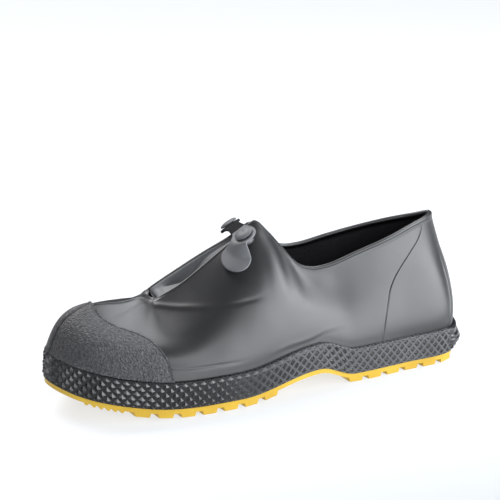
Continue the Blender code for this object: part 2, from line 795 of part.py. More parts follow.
def build_button(name, seat, finish, collection):
    """A turned button: stem from the flap, through the strap's hole, under a domed head."""
    foot = -(STRAP_LIFT + RING_LIFT) + BUTTON_SEAT
    under_head = STRAP_THICK / 2 + HEAD_CLEARANCE
    top = under_head + HEAD_THICK
    rim = HEAD_RADIUS
    profile = [(0, top), (rim * 0.6, top - 0.2 * HEAD_THICK), (rim * 0.93, top - 0.5 * HEAD_THICK)]
    profile += [(rim, under_head + 0.25 * HEAD_THICK), (rim * 0.92, under_head)]
    profile += [(STEM_RADIUS, under_head), (STEM_RADIUS, foot), (0, foot)]
    mesh = bpy.data.meshes.new(name)
    mesh.from_pydata([(r, 0, h) for r, h in profile], [(i, i + 1) for i in range(len(profile) - 1)], [])
    mesh.materials.append(finish)
    made = bpy.data.objects.new(name, mesh)
    collection.objects.link(made)
    turn = made.modifiers.new("Turn", "SCREW")
    turn.steps = turn.render_steps = 16
    turn.use_merge_vertices = True
    turn.merge_threshold = 0.02 * MM
    turn.use_normal_calculate = True
    made.location = seat.centre
    made.rotation_euler = seat.axis.to_track_quat("Z", "Y").to_euler()
    return made


def main():
    for old in list(bpy.data.objects):
        bpy.data.objects.remove(old)
    boot = bpy.data.collections.new("overboot")
    bpy.context.scene.collection.children.link(boot)

    black = material("black vinyl", (0.035, 0.036, 0.040), 0.42)
    grained = material("grained black vinyl", (0.030, 0.031, 0.034), 0.70)
    dark_sole = material("studded black vinyl", (0.020, 0.020, 0.022), 0.50)
    yellow = material("yellow vinyl", (0.78, 0.52, 0.045), 0.45)

    build_outsole(yellow, boot)
    build_midsole(dark_sole, boot)
    build_upper(black, boot)
    build_overlay("toe_cap", cap_columns(), CAP_THICK, grained, boot)
    build_overlay("heel_stay", stay_columns(), STAY_THICK, black, boot)
    build_gusset(black, boot)
    line = strap_line()
    flaps = flap_tree()
    seats = button_seats(line, flaps)
    build_strap(line, flaps, seats, black, boot)
    build_button("button_inner", seats[0], black, boot)
    build_button("button_outer", seats[1], black, boot)


main()
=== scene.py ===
# %% [markdown]
# # A low moulded overboot
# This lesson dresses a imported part: a black vinyl overshoe that is pulled over a work shoe.
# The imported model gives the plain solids, in metres, standing on the floor with the toe to -X.
# Every piece below is built in that same frame, rides on the one body of the part,
# and takes the place of the plain solid that it shows in detail.

import math
from collections import namedtuple

import bmesh
import bpy
import numpy as np
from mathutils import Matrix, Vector, noise
from mathutils.bvhtree import BVHTree


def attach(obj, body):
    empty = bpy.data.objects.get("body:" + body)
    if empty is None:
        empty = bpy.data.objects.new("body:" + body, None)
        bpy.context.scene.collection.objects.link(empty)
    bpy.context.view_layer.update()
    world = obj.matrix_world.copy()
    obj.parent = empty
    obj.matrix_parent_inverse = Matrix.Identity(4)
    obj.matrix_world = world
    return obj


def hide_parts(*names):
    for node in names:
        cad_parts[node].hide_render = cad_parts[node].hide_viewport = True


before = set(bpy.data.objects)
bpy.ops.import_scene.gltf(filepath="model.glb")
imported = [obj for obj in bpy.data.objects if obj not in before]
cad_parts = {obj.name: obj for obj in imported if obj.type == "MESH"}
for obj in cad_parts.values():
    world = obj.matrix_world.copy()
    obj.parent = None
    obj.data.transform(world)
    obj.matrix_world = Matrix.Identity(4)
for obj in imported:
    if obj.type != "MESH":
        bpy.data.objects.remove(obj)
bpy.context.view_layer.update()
MM = 0.001
scene = bpy.context.scene
print("solids:", sorted(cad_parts))

# %% [markdown]
# ## Camera
# The photograph looks at the outer side from a little ahead of it, and some eighteen degrees down.
# A long lens keeps the sole's edges nearly parallel, as they are in the photograph.

# %% Camera
CAMERA_PLACE = (-0.35127, -0.80854, 0.38179)
CAMERA_TURN = 23.10
CAMERA_DOWN = 18.17
CAMERA_LENS = 95.36
SENSOR_WIDTH = 36

lens = bpy.data.cameras.new("camera")
lens.lens = CAMERA_LENS
lens.sensor_width = SENSOR_WIDTH
camera = bpy.data.objects.new("camera", lens)
camera.location = CAMERA_PLACE
camera.rotation_euler = (math.radians(90 - CAMERA_DOWN), 0, math.radians(-CAMERA_TURN))
scene.collection.objects.link(camera)
scene.camera = camera
print("camera", round(CAMERA_LENS), "mm")

# %% [markdown]
# ## Floor
# The boot stands on a pale sweep of paper, brightest behind it and falling off towards the front.
# Light alone could do that, but black vinyl mirrors its lamps, so they are placed for the boot.
# The paper gets a faint glow of its own instead, which fades along the floor's Y.
# The Standard view transform keeps white paper white, where a filmic one would turn it grey.
# A few helpers for materials are written here, where the first material needs them.


# %% Floor
def feed(tree, node, sockets):
    """Gives each named socket of a node its value, or links it to the output that feeds it."""
    for name, value in sockets.items():
        if isinstance(value, bpy.types.NodeSocket):
            tree.links.new(value, node.inputs[name])
        else:
            node.inputs[name].default_value = value
    return node


def add_node(tree, kind, sockets):
    return feed(tree, tree.nodes.new(kind), sockets)


def spread(tree, value, low, high, start=0.3, end=0.7):
    """Stretches a value from start..end to low..high; a noise lies mostly within 0.3..0.7."""
    sockets = {"Value": value, "From Min": start, "From Max": end, "To Min": low, "To Max": high}
    return add_node(tree, "ShaderNodeMapRange", sockets).outputs["Result"]


def new_finish(name):
    """A new material, its tree, its shader, and the coordinates of the piece that wears it."""
    made = bpy.data.materials.new(name)
    made.use_nodes = True
    tree = made.node_tree
    place = tree.nodes.new("ShaderNodeTexCoord").outputs["Object"]
    return made, tree, tree.nodes["Principled BSDF"], place


FLOOR_HALF_SIZE = 9.0
DAYLIGHT = (0.96, 0.98, 1.0, 1)
PAPER_GLOW = (0.12, 0.70)
GLOW_FROM, GLOW_TO = -0.34, -0.04

scene.view_settings.view_transform = "Standard"
floor_mesh = bpy.data.meshes.new("studio_floor")
bm = bmesh.new()
bmesh.ops.create_grid(bm, x_segments=8, y_segments=8, size=FLOOR_HALF_SIZE)
bm.to_mesh(floor_mesh)
bm.free()
floor = bpy.data.objects.new("studio_floor", floor_mesh)
scene.collection.objects.link(floor)
paper, tree, shader, place = new_finish("studio paper")
axes = add_node(tree, "ShaderNodeSeparateXYZ", {"Vector": place})
feed(tree, shader, {
    "Base Color": (0.25, 0.26, 0.275, 1),
    "Roughness": 0.60,
    "Specular IOR Level": 0.2,
    "Emission Color": DAYLIGHT,
    "Emission Strength": spread(tree, axes.outputs["Y"], *PAPER_GLOW, GLOW_FROM, GLOW_TO),
})
floor_mesh.materials.append(paper)
print("floor:", 2 * FLOOR_HALF_SIZE, "m square")

# %% [markdown]
# ## Light
# Black vinyl shows what it mirrors, so each soft source is there for one part of the boot.
# A high one behind the boot lights the top of the vamp, a wide low one to the right lights the quarter,
# and small ones pick out the collar, the vamp and the toe. Between them the flap stays dark.
# The high one is a sun with a wide disc, because that lights a large floor evenly.
# Light that a white floor throws back up from the right is a source too, lying on the floor.
# Blender hides a new lamp from the camera, so none of them shows.

# %% Light
SKY_STRENGTH = 0.07
LAMP_COLOUR = (0.94, 0.97, 1.0)
SUN_PLACE, SUN_STRENGTH, SUN_DISC = (-0.20, 0.62, 0.77), 3.2, 36
SoftSource = namedtuple("SoftSource", "name place at width height power")
SOFT_SOURCES = [
    SoftSource("quarter source", (1.05, -1.00, 0.52), (0.07, 0, 0.06), 1.7, 1.05, 40),
    SoftSource("collar source", (1.34, -0.46, 0.85), (0.07, 0, 0.06), 0.7, 0.6, 7),
    SoftSource("vamp source", (0.75, 0.37, 1.36), (-0.08, 0, 0.06), 0.7, 0.6, 16),
    SoftSource("toe source", (-0.42, -1.38, 0.80), (-0.12, 0, 0.05), 1.0, 0.42, 9.5),
    SoftSource("left source", (-1.35, -0.45, 0.60), (-0.12, 0, 0.05), 0.5, 0.5, 3.5),
    SoftSource("floor glow", (0.46, -0.50, 0.004), (0.46, -0.50, 1.0), 1.1, 0.7, 12),
]


def hang(light, place, at):
    """Hangs a lamp at a place and aims it."""
    lamp = bpy.data.objects.new(light.name, light)
    scene.collection.objects.link(lamp)
    lamp.location = place
    lamp.rotation_euler = (Vector(at) - Vector(place)).to_track_quat("-Z", "Y").to_euler()


world = bpy.data.worlds.new("studio")
world.use_nodes = True
feed(world.node_tree, world.node_tree.nodes["Background"], {"Color": DAYLIGHT, "Strength": SKY_STRENGTH})
scene.world = world

sun = bpy.data.lights.new("high source", "SUN")
sun.energy = SUN_STRENGTH
sun.angle = math.radians(SUN_DISC)
hang(sun, SUN_PLACE, (0, 0, 0))
for source in SOFT_SOURCES:
    light = bpy.data.lights.new(source.name, "AREA")
    light.shape = "RECTANGLE"
    light.size, light.size_y = source.width, source.height
    light.energy = source.power
    light.color = LAMP_COLOUR
    hang(light, source.place, source.at)

# %% [markdown]
# ## The last
# A boot is moulded round a last, and every line on it follows that last.
# So the outline of the sole, its lift off the floor and the sections of the upper are written once,
# with the sizes of the plain solids, and each piece is laid on that surface.
# The functions take whole arrays, which keeps a fine mesh quick to place.

# %% Sizes of the boot
LENGTH = 311 * MM
BALL_WIDTH = 110 * MM
INSTEP_HEIGHT = 115 * MM
GAP = 0.3 * MM
TUCK_GAP = 0.45 * MM
LUG_DEPTH = 3.2 * MM
PLATE_THICK = 3.3 * MM
OUTSOLE_INSET = 2.0 * MM
BAND_HEIGHT = 19.3 * MM
BAND_WALL = 2.6 * MM
BAND_DRAFT = 1.2 * MM
FLOOR_THICK = 5.0 * MM
TOE_SPRING = 17.0 * MM
SPRING_STARTS_AT = 0.334
ARCH_RISE = 9.0 * MM
ARCH_FROM, ARCH_TOP, ARCH_TO = 0.400, 0.596, 0.689
TOE_LEAN = 1.7 * MM
TOE_LEAN_ENDS_AT = 0.16
SPUR_REACH = 4.0 * MM
WALL = 2.0 * MM
TOP_OFFSET = 4.0 * MM

# Round the sole from the toe by the outer side: share of LENGTH, share of BALL_WIDTH.
OutlinePoint = namedtuple("OutlinePoint", "name along across")
OUTLINE = [
    OutlinePoint("toe tip", 0.000, -0.012),
    OutlinePoint("outer toe", 0.039, -0.264),
    OutlinePoint("little toe", 0.190, -0.473),
    OutlinePoint("outer ball", 0.351, -0.500),
    OutlinePoint("outer waist", 0.592, -0.436),
    OutlinePoint("outer heel", 0.817, -0.382),
    OutlinePoint("outer heel corner", 0.962, -0.309),
    OutlinePoint("heel back", 1.000, -0.018),
    OutlinePoint("inner heel corner", 0.961, 0.263),
    OutlinePoint("inner heel", 0.817, 0.350),
    OutlinePoint("inner waist", 0.576, 0.345),
    OutlinePoint("inner ball", 0.303, 0.500),
    OutlinePoint("big toe", 0.131, 0.405),
    OutlinePoint("inner toe", 0.037, 0.190),
]

# Sections of the upper on one side, from toe to heel, each from the band to the top edge. along, across
# and height place the edge. inner_drop (mm) is how much lower the inner side ends, rise (degrees) the
# slope at the top. The pulls (mm) say how far a section keeps its direction, low_out how far it leans out.
Section = namedtuple("Section", "foot along across height inner_drop rise low_pull low_out top_pull")
SECTIONS = [
    Section(0.000, 0.251, 0.000, 0.598, 0.0, -5, 29, -10, 57),
    Section(0.100, 0.251, 0.023, 0.599, 0.0, 11, 29, -8, 49),
    Section(0.200, 0.253, 0.045, 0.602, -0.8, 27, 28, -4, 42),
    Section(0.290, 0.261, 0.073, 0.611, -2.0, 36, 27, -1, 37),
    Section(0.350, 0.312, 0.086, 0.677, -2.0, 35, 28, 0, 35),
    Section(0.410, 0.389, 0.077, 0.812, 1.0, 31, 32, 0, 33),
    Section(0.455, 0.458, 0.046, 0.926, 2.5, 25, 35, 0, 31),
    Section(0.480, 0.494, 0.046, 0.998, 4.0, 29, 36, 0, 31),
    Section(0.505, 0.520, 0.085, 0.935, 3.0, 22, 34, 0, 22),
    Section(0.535, 0.548, 0.145, 0.835, 0.0, 42, 30, 0, 23),
    Section(0.565, 0.574, 0.200, 0.748, -3.0, 60, 26, 0, 25),
    Section(0.595, 0.602, 0.218, 0.711, -3.0, 72, 24, 0, 24),
    Section(0.635, 0.643, 0.227, 0.712, -2.0, 78, 24, 0, 24),
    Section(0.700, 0.721, 0.227, 0.770, 0.8, 79, 26, 0, 25),
    Section(0.780, 0.801, 0.218, 0.829, 3.7, 80, 27, 1, 26),
    Section(0.860, 0.872, 0.168, 0.876, 4.8, 78, 28, 3, 26),
    Section(0.930, 0.927, 0.100, 0.898, 3.8, 74, 29, 4, 26),
    Section(1.000, 0.956, 0.000, 0.899, 0.0, 72, 30, 5, 26),
]
print("outline points:", len(OUTLINE), "sections:", len(SECTIONS))


# %% Curves
def smooth(knots, values, at):
    """A cubic through the values at increasing knots, with slopes taken from the neighbours."""
    knots, values = np.asarray(knots, float), np.asarray(values, float)
    slopes = np.gradient(values, knots, axis=0)
    i = np.clip(np.searchsorted(knots, at) - 1, 0, len(knots) - 2)
    width = knots[i + 1] - knots[i]
    t = (at - knots[i]) / width
    if values.ndim > 1:
        t, width = np.asarray(t)[..., None], np.asarray(width)[..., None]
    rest = 1 - t
    start = values[i] * (1 + 2 * t) + slopes[i] * width * t
    end = values[i + 1] * (1 + 2 * rest) - slopes[i + 1] * width * rest
    return start * rest * rest + end * t * t


def curve_through(table, at):
    """A smooth curve through a table of (place, value) rows."""
    return smooth(*np.array(table).T, at)


def lines_through(table, at):
    """Straight lines through a table of (place, value) rows."""
    return np.interp(at, *np.array(table).T)


def ease(t):
    """Goes smoothly from 0 to 1 as t does."""
    t = np.clip(t, 0.0, 1.0)
    return t * t * (3 - 2 * t)


def window(value, start, full, last, end):
    """0 before start, 1 between full and last, 0 after end."""
    return ease((value - start) / (full - start)) * ease((end - value) / (end - last))


def ridge(distance, half_width):
    return np.exp(-((distance / half_width) ** 2))


def unit(vectors):
    return vectors / np.linalg.norm(vectors, axis=-1, keepdims=True)


def run_along(points):
    """How far along a row of points each of them lies."""
    return np.concatenate([[0], np.cumsum(np.linalg.norm(np.diff(points, axis=0), axis=1))])


def closed_curve(points, count):
    """A smooth closed curve in count even steps, the run of each step, and the run of each given point."""
    wrap = 3
    points = np.array(points, float)
    points = np.concatenate([points[-wrap:], points, points[: wrap + 1]])
    knots = run_along(points)
    ats = np.linspace(knots[wrap], knots[-wrap - 1], count + 1)
    return smooth(knots, points, ats), ats, knots[wrap:-wrap]


print("an eased ramp:", ease(np.linspace(0, 1, 5)))


# %% The sole's outline
def x_of(along):
    return (along - 0.5) * LENGTH - SPUR_REACH / 2


def along_of(x):
    return (x + SPUR_REACH / 2) / LENGTH + 0.5


def outline_loop(samples=720):
    """Close points round the sole with their share of the way: 0 toe, 1 heel, 2 toe again."""
    loop, ats, knots = closed_curve([(x_of(p.along), p.across * BALL_WIDTH) for p in OUTLINE], samples)
    run = run_along(loop)
    heel = np.interp(knots[[p.name for p in OUTLINE].index("heel back")], ats, run)
    share = np.where(run <= heel, run / heel, 1 + (run - heel) / (run[-1] - heel))
    return loop, share, run[-1]


LOOP, LOOP_SHARE, LOOP_LENGTH = outline_loop()


def outline(share, inset=0.0):
    """(x, y) at a share of the way round the sole, moved inwards by inset."""
    step = 0.004

    def at(s):
        return np.stack([np.interp(s % 2, LOOP_SHARE, LOOP[:, k]) for k in (0, 1)], -1)

    share = np.asarray(share, float)
    along = at(share + step) - at(share - step)
    outwards = unit(np.stack([along[..., 1], -along[..., 0]], -1))
    return at(share) - outwards * np.asarray(inset)[..., None]


def sole_lift(x):
    """How far the sole has left the floor at x: toe spring in front, the arch under the waist."""
    along = along_of(x)
    spring = np.maximum(SPRING_STARTS_AT - along, 0) / SPRING_STARTS_AT
    up = ease((along - ARCH_FROM) / (ARCH_TOP - ARCH_FROM))
    down = ease((ARCH_TO - along) / (ARCH_TO - ARCH_TOP))
    return TOE_SPRING * spring**2 + ARCH_RISE * np.where(along < ARCH_TOP, up, down)


def band_low(x):
    return sole_lift(x) + LUG_DEPTH + PLATE_THICK + GAP


def band_inset(x, height):
    """How far the band's side leans in at x: its foot all round, and its top at the toe."""
    toe = ease(1 - along_of(x) / TOE_LEAN_ENDS_AT)
    return BAND_DRAFT * (1 - height) * (1 - toe) + TOE_LEAN * height * toe


print("round the sole:", round(LOOP_LENGTH / MM), "mm")

# %% The upper's surface
# The edge is averaged over these shares, to keep its peaks out of the walls below.
SOFTEN = (-0.04, -0.02, 0.0, 0.02, 0.04)
# At the throat's corner the wall follows the averaged edge up to this height, and the true one above it.
TRUE_EDGE_FROM = 0.72
THROAT_CORNER = (0.12, 0.20, 0.34, 0.40)


def mirrored(knots, values, odd):
    """The rows carried on past toe and heel, so that the surface crosses both centre lines smoothly."""
    sign = -1 if odd else 1
    knots = np.concatenate([-knots[2:0:-1], knots, 2 - knots[-2:-4:-1]])
    values = np.concatenate([sign * values[2:0:-1], values, sign * values[-2:-4:-1]])
    return knots, values


FEET = np.array([s.foot for s in SECTIONS])
COLUMNS = {
    name: mirrored(FEET, np.array([getattr(s, name) for s in SECTIONS]), name == "across")
    for name in Section._fields[1:]
}


def foot_of(share):
    """The share as it counts on either side, from 0 at the toe to 1 at the heel."""
    share = np.asarray(share, float) % 2
    return np.where(share > 1, 2 - share, share)


def read_columns(share, *names):
    return [smooth(*COLUMNS[name], foot_of(share)) for name in names]


def top_edge(share):
    """The point of the throat's or collar's edge over that share of the way round the sole."""
    inner = share % 2 > 1
    along, across, height, inner_drop = read_columns(share, "along", "across", "height", "inner_drop")
    y = np.where(inner, 1, -1) * across * BALL_WIDTH + TOP_OFFSET
    return np.stack([x_of(along), y, height * INSTEP_HEIGHT - inner_drop * MM * inner], -1)


def section(share):
    """The section's four control points at that share round the sole, and its edge averaged."""
    share = np.asarray(share, float)
    rise, low_pull, low_out, top_pull = read_columns(share, "rise", "low_pull", "low_out", "top_pull")
    foot = outline(share, BAND_WALL + TUCK_GAP)
    low = np.stack([foot[..., 0], foot[..., 1], band_low(foot[..., 0]) + BAND_HEIGHT], -1)
    soft_top = sum(top_edge(share + step) for step in SOFTEN) / len(SOFTEN)
    inwards = unit((soft_top - low) * [1, 1, 0])
    rise = np.radians(rise)[..., None]
    arrive = inwards * np.cos(rise) + np.array([0, 0, 1]) * np.sin(rise)
    bulge = outline(share, BAND_WALL + TUCK_GAP - low_out * MM)
    start = np.stack([bulge[..., 0], bulge[..., 1], low[..., 2] + low_pull * MM], -1)
    return low, start, soft_top - arrive * top_pull[..., None] * MM, top_edge(share), soft_top


def on_section(share, v):
    """A point of the upper's outside at v of the way from band to top edge."""
    a, b, c, d, soft = section(share)
    t = np.asarray(v, float)[..., None]
    softened = 1 - ease((t - TRUE_EDGE_FROM) / (1 - TRUE_EDGE_FROM))
    d = d + (soft - d) * softened * window(foot_of(share), *THROAT_CORNER)[..., None]
    r = 1 - t
    return a * r**3 + b * (3 * r * r * t) + c * (3 * r * t * t) + d * t**3


def slopes_of_skin(share, v):
    """How far the surface moves for a whole share round the sole, and for a whole section upwards."""
    step = 0.003
    around = (on_section(share + step, v) - on_section(share - step, v)) / (2 * step)
    low, high = np.maximum(v - step, 0), np.minimum(v + step, 1)
    upwards = (on_section(share, high) - on_section(share, low)) / np.asarray(high - low)[..., None]
    return around, upwards


def stretch_of_skin(share, v):
    """The lengths of both slopes, which turn shares of the surface into metres."""
    return [np.linalg.norm(slope, axis=-1) for slope in slopes_of_skin(share, v)]


def skin(share, v, lift=0.0):
    """A point of the upper's outside, lifted off it by lift."""
    share, v = np.asarray(share, float), np.asarray(v, float)
    off = unit(np.cross(*slopes_of_skin(share, v)))
    return on_section(share, v) + off * np.asarray(lift, float)[..., None]


print("throat's foot at", np.round(skin(0, 1) / MM, 1), "mm")

# %% [markdown]
# ## Helpers for pieces
# Most pieces here are sheets that lie on the last, so each starts as Blender's own grid,
# whose corners are then moved to their places on the boot.
# A piece that is done gets its finish and is tied to the body.


# %% Helpers for pieces
def sheet(columns, rows, place, closed=True, second_finish=None):
    """A grid whose corners go where place(u, w) says, for u and w from 0 to 1.

    Faces whose middle second_finish(u, w) picks get the second of the piece's finishes.
    """
    bm = bmesh.new()
    bmesh.ops.create_grid(bm, x_segments=columns, y_segments=rows, size=0.5)
    if second_finish:
        for face in bm.faces:
            middle = face.calc_center_median()
            face.material_index = int(second_finish(middle.x + 0.5, middle.y + 0.5))
    at = np.array([vert.co for vert in bm.verts]) + 0.5
    for vert, co in zip(bm.verts, place(at[:, 0], at[:, 1])):
        vert.co = co
    if closed:
        bmesh.ops.remove_doubles(bm, verts=bm.verts, dist=0.004 * MM)
    return bm


def add_piece(name, bm, finishes, slot, *stands_for, sharp=None):
    """Makes the bmesh a named piece with its finishes, on the boot's one body."""
    mesh = bpy.data.meshes.new(name)
    bm.to_mesh(mesh)
    bm.free()
    for finish in finishes:
        mesh.materials.append(finish)
    mesh.shade_smooth()
    if sharp:
        mesh.set_sharp_from_angle(angle=math.radians(sharp))
    piece = bpy.data.objects.new(name, mesh)
    scene.collection.objects.link(piece)
    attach(piece, "root")
    if stands_for:
        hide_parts(*stands_for)
    print(name, "has", sum(len(p.vertices) - 2 for p in mesh.polygons), "triangles")


print("helpers for pieces:", sheet.__name__, add_piece.__name__)

# %% [markdown]
# ## Finishes
# The boot is moulded in soft vinyl: satin on the upper, pebbled on the toe, glossy on the studs,
# dull inside, and yellow underneath. The valleys between the studs are painted light: near black at the toe
# and lighter towards the heel, where more light falls on them.
# Each finish is a Principled shader with noise at two scales: a broad one for cloudy colour and gloss,
# as moulded vinyl has, and a fine one for the mould's grain.
# Noise on Object coordinates needs no unwrapping, and stays put because nothing is moved after this.

# %% Finishes
PEBBLE_BUMP = 0.35 * MM
# The least share of the painted valley light that the cloudy noise leaves.
LEAST_VALLEY_LIGHT = 0.7


def grain(tree, place, scale, detail, roughness=0.55):
    """A noise on the piece's own coordinates; scale is in waves per metre."""
    sockets = {"Vector": place, "Scale": scale, "Detail": detail, "Roughness": roughness}
    return add_node(tree, "ShaderNodeTexNoise", sockets).outputs["Fac"]


def bump(tree, height, depth, strength, below=None):
    sockets = {"Height": height, "Distance": depth, "Strength": strength}
    if below:
        sockets["Normal"] = below
    return add_node(tree, "ShaderNodeBump", sockets).outputs["Normal"]


def between(tree, factor, dark, light):
    """A colour between two. This node's colour sockets come after its float and vector ones."""
    mix = tree.nodes.new("ShaderNodeMix")
    mix.data_type = "RGBA"
    return feed(tree, mix, {0: factor, 6: (*dark, 1), 7: (*light, 1)}).outputs[2]


def fade_in_painted_light(tree, place, shade, start, end):
    """Fades painted light in along the boot, from start to end: lighter towards the heel, where more light
    falls.
    """
    axes = add_node(tree, "ShaderNodeSeparateXYZ", {"Vector": place})
    both = tree.nodes.new("ShaderNodeMath")
    both.operation = "MULTIPLY"
    along = spread(tree, axes.outputs["X"], 0, 1, start, end)
    return feed(tree, both, {0: along, 1: spread(tree, shade, LEAST_VALLEY_LIGHT, 1, 0, 1)}).outputs["Value"]


def moulded_vinyl(name, dark, light, gloss, cloud, fine, depth, specular, pebbles=None, painted_light=None):
    """A vinyl with clouded colour, gloss that varies between two roughnesses, and a fine mould grain.

    pebbles is how many grains go to the metre. The argument after it says where painted light starts and is
    full along X: the light colour stands in for more light falling towards the heel.
    """
    made, tree, shader, place = new_finish(name)
    shade = spread(tree, grain(tree, place, cloud, 4.0), 0, 1)
    # Painted light along X: the colour grows lighter towards the heel.
    if painted_light:
        shade = fade_in_painted_light(tree, place, shade, *painted_light)
    streaks = grain(tree, place, cloud * 5, 5.0, 0.65)
    relief = bump(tree, grain(tree, place, fine, 2.0), depth, 0.6)
    if pebbles:
        cells = add_node(tree, "ShaderNodeTexVoronoi", {"Vector": place, "Scale": pebbles})
        height = spread(tree, cells.outputs["Distance"], 1, 0, 0.10, 0.55)
        relief = bump(tree, height, PEBBLE_BUMP, 0.9, relief)
    feed(tree, shader, {
        "Specular IOR Level": specular,
        "Base Color": between(tree, shade, dark, light),
        "Roughness": spread(tree, streaks, *gloss),
        "Normal": relief,
    })
    return made


satin_vinyl = moulded_vinyl(
    "satin vinyl", (0.0085, 0.0087, 0.0095), (0.011, 0.0112, 0.0122), gloss=(0.36, 0.40),
    cloud=18, fine=1500, depth=0.04 * MM, specular=0.62)
strap_vinyl = moulded_vinyl(
    "strap vinyl", (0.070, 0.072, 0.077), (0.100, 0.102, 0.108), gloss=(0.50, 0.60),
    cloud=60, fine=1300, depth=0.06 * MM, specular=0.5)
pebbled_vinyl = moulded_vinyl(
    "pebbled vinyl", (0.008, 0.008, 0.009), (0.060, 0.060, 0.064), gloss=(0.48, 0.62),
    cloud=620, fine=1900, depth=0.10 * MM, specular=0.5, pebbles=640)
stud_vinyl = moulded_vinyl(
    "stud vinyl", (0.006, 0.006, 0.007), (0.010, 0.010, 0.0115), gloss=(0.24, 0.31),
    cloud=40, fine=1200, depth=0.03 * MM, specular=0.6)
# The valleys' finish, with painted light: dark at the toe, lighter towards the heel.
matte_vinyl = moulded_vinyl(
    "matte vinyl", (0.006, 0.006, 0.007), (0.090, 0.091, 0.096), gloss=(0.45, 0.58),
    cloud=60, fine=1300, depth=0.05 * MM, specular=0.4, painted_light=(-55 * MM, 25 * MM))
# The lining's dull finish, also put on the strap's middle as painted shade.
lining_and_strap_shade = moulded_vinyl(
    "strap shade and dull lining", (0.005, 0.005, 0.0055), (0.009, 0.009, 0.010), gloss=(0.75, 0.92),
    cloud=50, fine=1400, depth=0.12 * MM, specular=0.2, pebbles=900)
yellow_vinyl = moulded_vinyl(
    "yellow vinyl", (0.47, 0.285, 0.017), (0.56, 0.36, 0.027), gloss=(0.40, 0.52),
    cloud=30, fine=1100, depth=0.05 * MM, specular=0.45)
print("finishes:", [m.name for m in bpy.data.materials if m.name.endswith(("vinyl", "lining"))])

# %% [markdown]
# ## Lines of the mould
# The mould leaves soft ridges and troughs of half a millimetre or less on the upper: the counter line
# at the heel, the line under the flap, the ridge on the vamp, a welt by the cap and a crease at the arch.
# They could be drawn as bump, but they catch the light along their length, so they are real relief.
# Each line is a row of given points: share of the way from toe to heel, v up the section.

# %% Lines of the mould
COUNTER_LINE = [
    (0.7262, 0.000), (0.7345, 0.200), (0.7475, 0.380), (0.7645, 0.540), (0.7940, 0.670),
    (0.8330, 0.771), (0.8715, 0.852), (0.8975, 0.945), (0.9060, 1.000),
]
FLAP_LINE = [
    (0.000, 0.952), (0.022, 0.954), (0.090, 0.962), (0.180, 0.963), (0.250, 0.950),
    (0.288, 0.927), (0.311, 0.880), (0.346, 0.777), (0.377, 0.664), (0.399, 0.594),
    (0.420, 0.531), (0.442, 0.480), (0.471, 0.446), (0.500, 0.440), (0.540, 0.440),
]
WELT_LINE = [
    (0.250, 0.136), (0.277, 0.126), (0.298, 0.113), (0.324, 0.107),
    (0.351, 0.100), (0.379, 0.090), (0.406, 0.080), (0.430, 0.073),
]
ARCH_LINE = [(0.450, 0.067), (0.509, 0.066), (0.569, 0.082), (0.609, 0.170), (0.653, 0.287), (0.700, 0.360)]
VAMP_RIDGE = [
    (0.014, 0.660), (0.018, 0.700), (0.029, 0.780), (0.038, 0.840),
    (0.036, 0.900), (0.022, 0.954), (0.010, 1.000),
]
# How far each mark stands out (mm), half its width (mm), and where from toe to heel it fades in and out.
Mark = namedtuple("Mark", "rise half_width span")
FLAP_SWELL = Mark(0.46, 2.0, (-0.1, 0.0, 0.33, 0.41))
FLAP_TROUGH = Mark(-0.32, 1.2, (0.38, 0.43, 0.46, 0.51))
WELT_TROUGH = Mark(-0.40, 0.9, (0.24, 0.27, 0.36, 0.43))
ARCH_CREASE = Mark(0.22, 1.8, (0.46, 0.52, 0.60, 0.69))
ARCH_TROUGH = Mark(-0.06, 1.8, (0.46, 0.52, 0.60, 0.69))
ARCH_TROUGH_BELOW = 2.8 * MM
WELT_RISE, WELT_SLOPE = 0.35 * MM, 1.2 * MM
HEM_RISE, HEM_DEPTH, HEM_SLOPE = 0.45 * MM, 3.6 * MM, 1.3 * MM
HEM_SPAN = (0.50, 0.56, 1.1, 1.2)
COUNTER_RISE, COUNTER_SLOPE, COUNTER_FADE = 0.30 * MM, 1.4 * MM, 34 * MM
COUNTER_GROOVE, GROOVE_HALF_WIDTH, GROOVE_AHEAD = 0.24 * MM, 0.42 * MM, 0.4 * MM
COUNTER_ENDS_BELOW = 2 * MM
VAMP_RISE, VAMP_HALF_WIDTH = 0.45 * MM, 1.1 * MM
VAMP_STEP, VAMP_SLOPE = 0.55 * MM, 2.5 * MM
VAMP_HEIGHTS, VAMP_SPAN = (0.62, 0.69, 0.92, 0.96), (-0.30, -0.12, 0.06, 0.09)
# These two lines run aslant, so the distance square to them is a part of that along the grid.
COUNTER_SLANT, FLAP_SLANT = 0.8, 0.85
FLARE_HEIGHT, FLARE_GAP, FLARE_POWER = 3.2 * MM, 0.45 * MM, 1.6
WALL_FILL, CAP_FILL = 0.08, 0.9


def v_of(line, at):
    return curve_through(line, np.clip(at, line[0][0], line[-1][0]))


def at_of(line, v):
    return curve_through([row[::-1] for row in line], np.clip(v, line[0][1], line[-1][1]))


def marked(mark, distance, foot):
    return mark.rise * MM * ridge(distance, mark.half_width * MM) * window(foot, *mark.span)


def flare(x, above, fill):
    """How the wall's foot swells out at a height above the band, filling a share of the ledge there."""
    room = BAND_WALL + TUCK_GAP - band_inset(x, 1.0) - FLARE_GAP
    return fill * room * np.clip(1 - above / FLARE_HEIGHT, 0, 1) ** FLARE_POWER


def heel_and_hem(share, v):
    """The hem round the collar, and the heel's panel behind a groove along the counter line."""
    foot = foot_of(share)
    around, upwards = stretch_of_skin(share, v)
    from_edge = (1 - v) * upwards
    hem = HEM_RISE * ease((HEM_DEPTH - from_edge) / HEM_SLOPE) * window(foot, *HEM_SPAN)
    behind = (foot - at_of(COUNTER_LINE, v)) * around * COUNTER_SLANT
    panel = COUNTER_RISE * ease(behind / COUNTER_SLOPE + 0.5) * (1 - ease(behind / COUNTER_FADE))
    groove = COUNTER_GROOVE * ridge(behind + GROOVE_AHEAD, GROOVE_HALF_WIDTH)
    return hem + (panel - groove) * ease((from_edge - COUNTER_ENDS_BELOW) / MM)


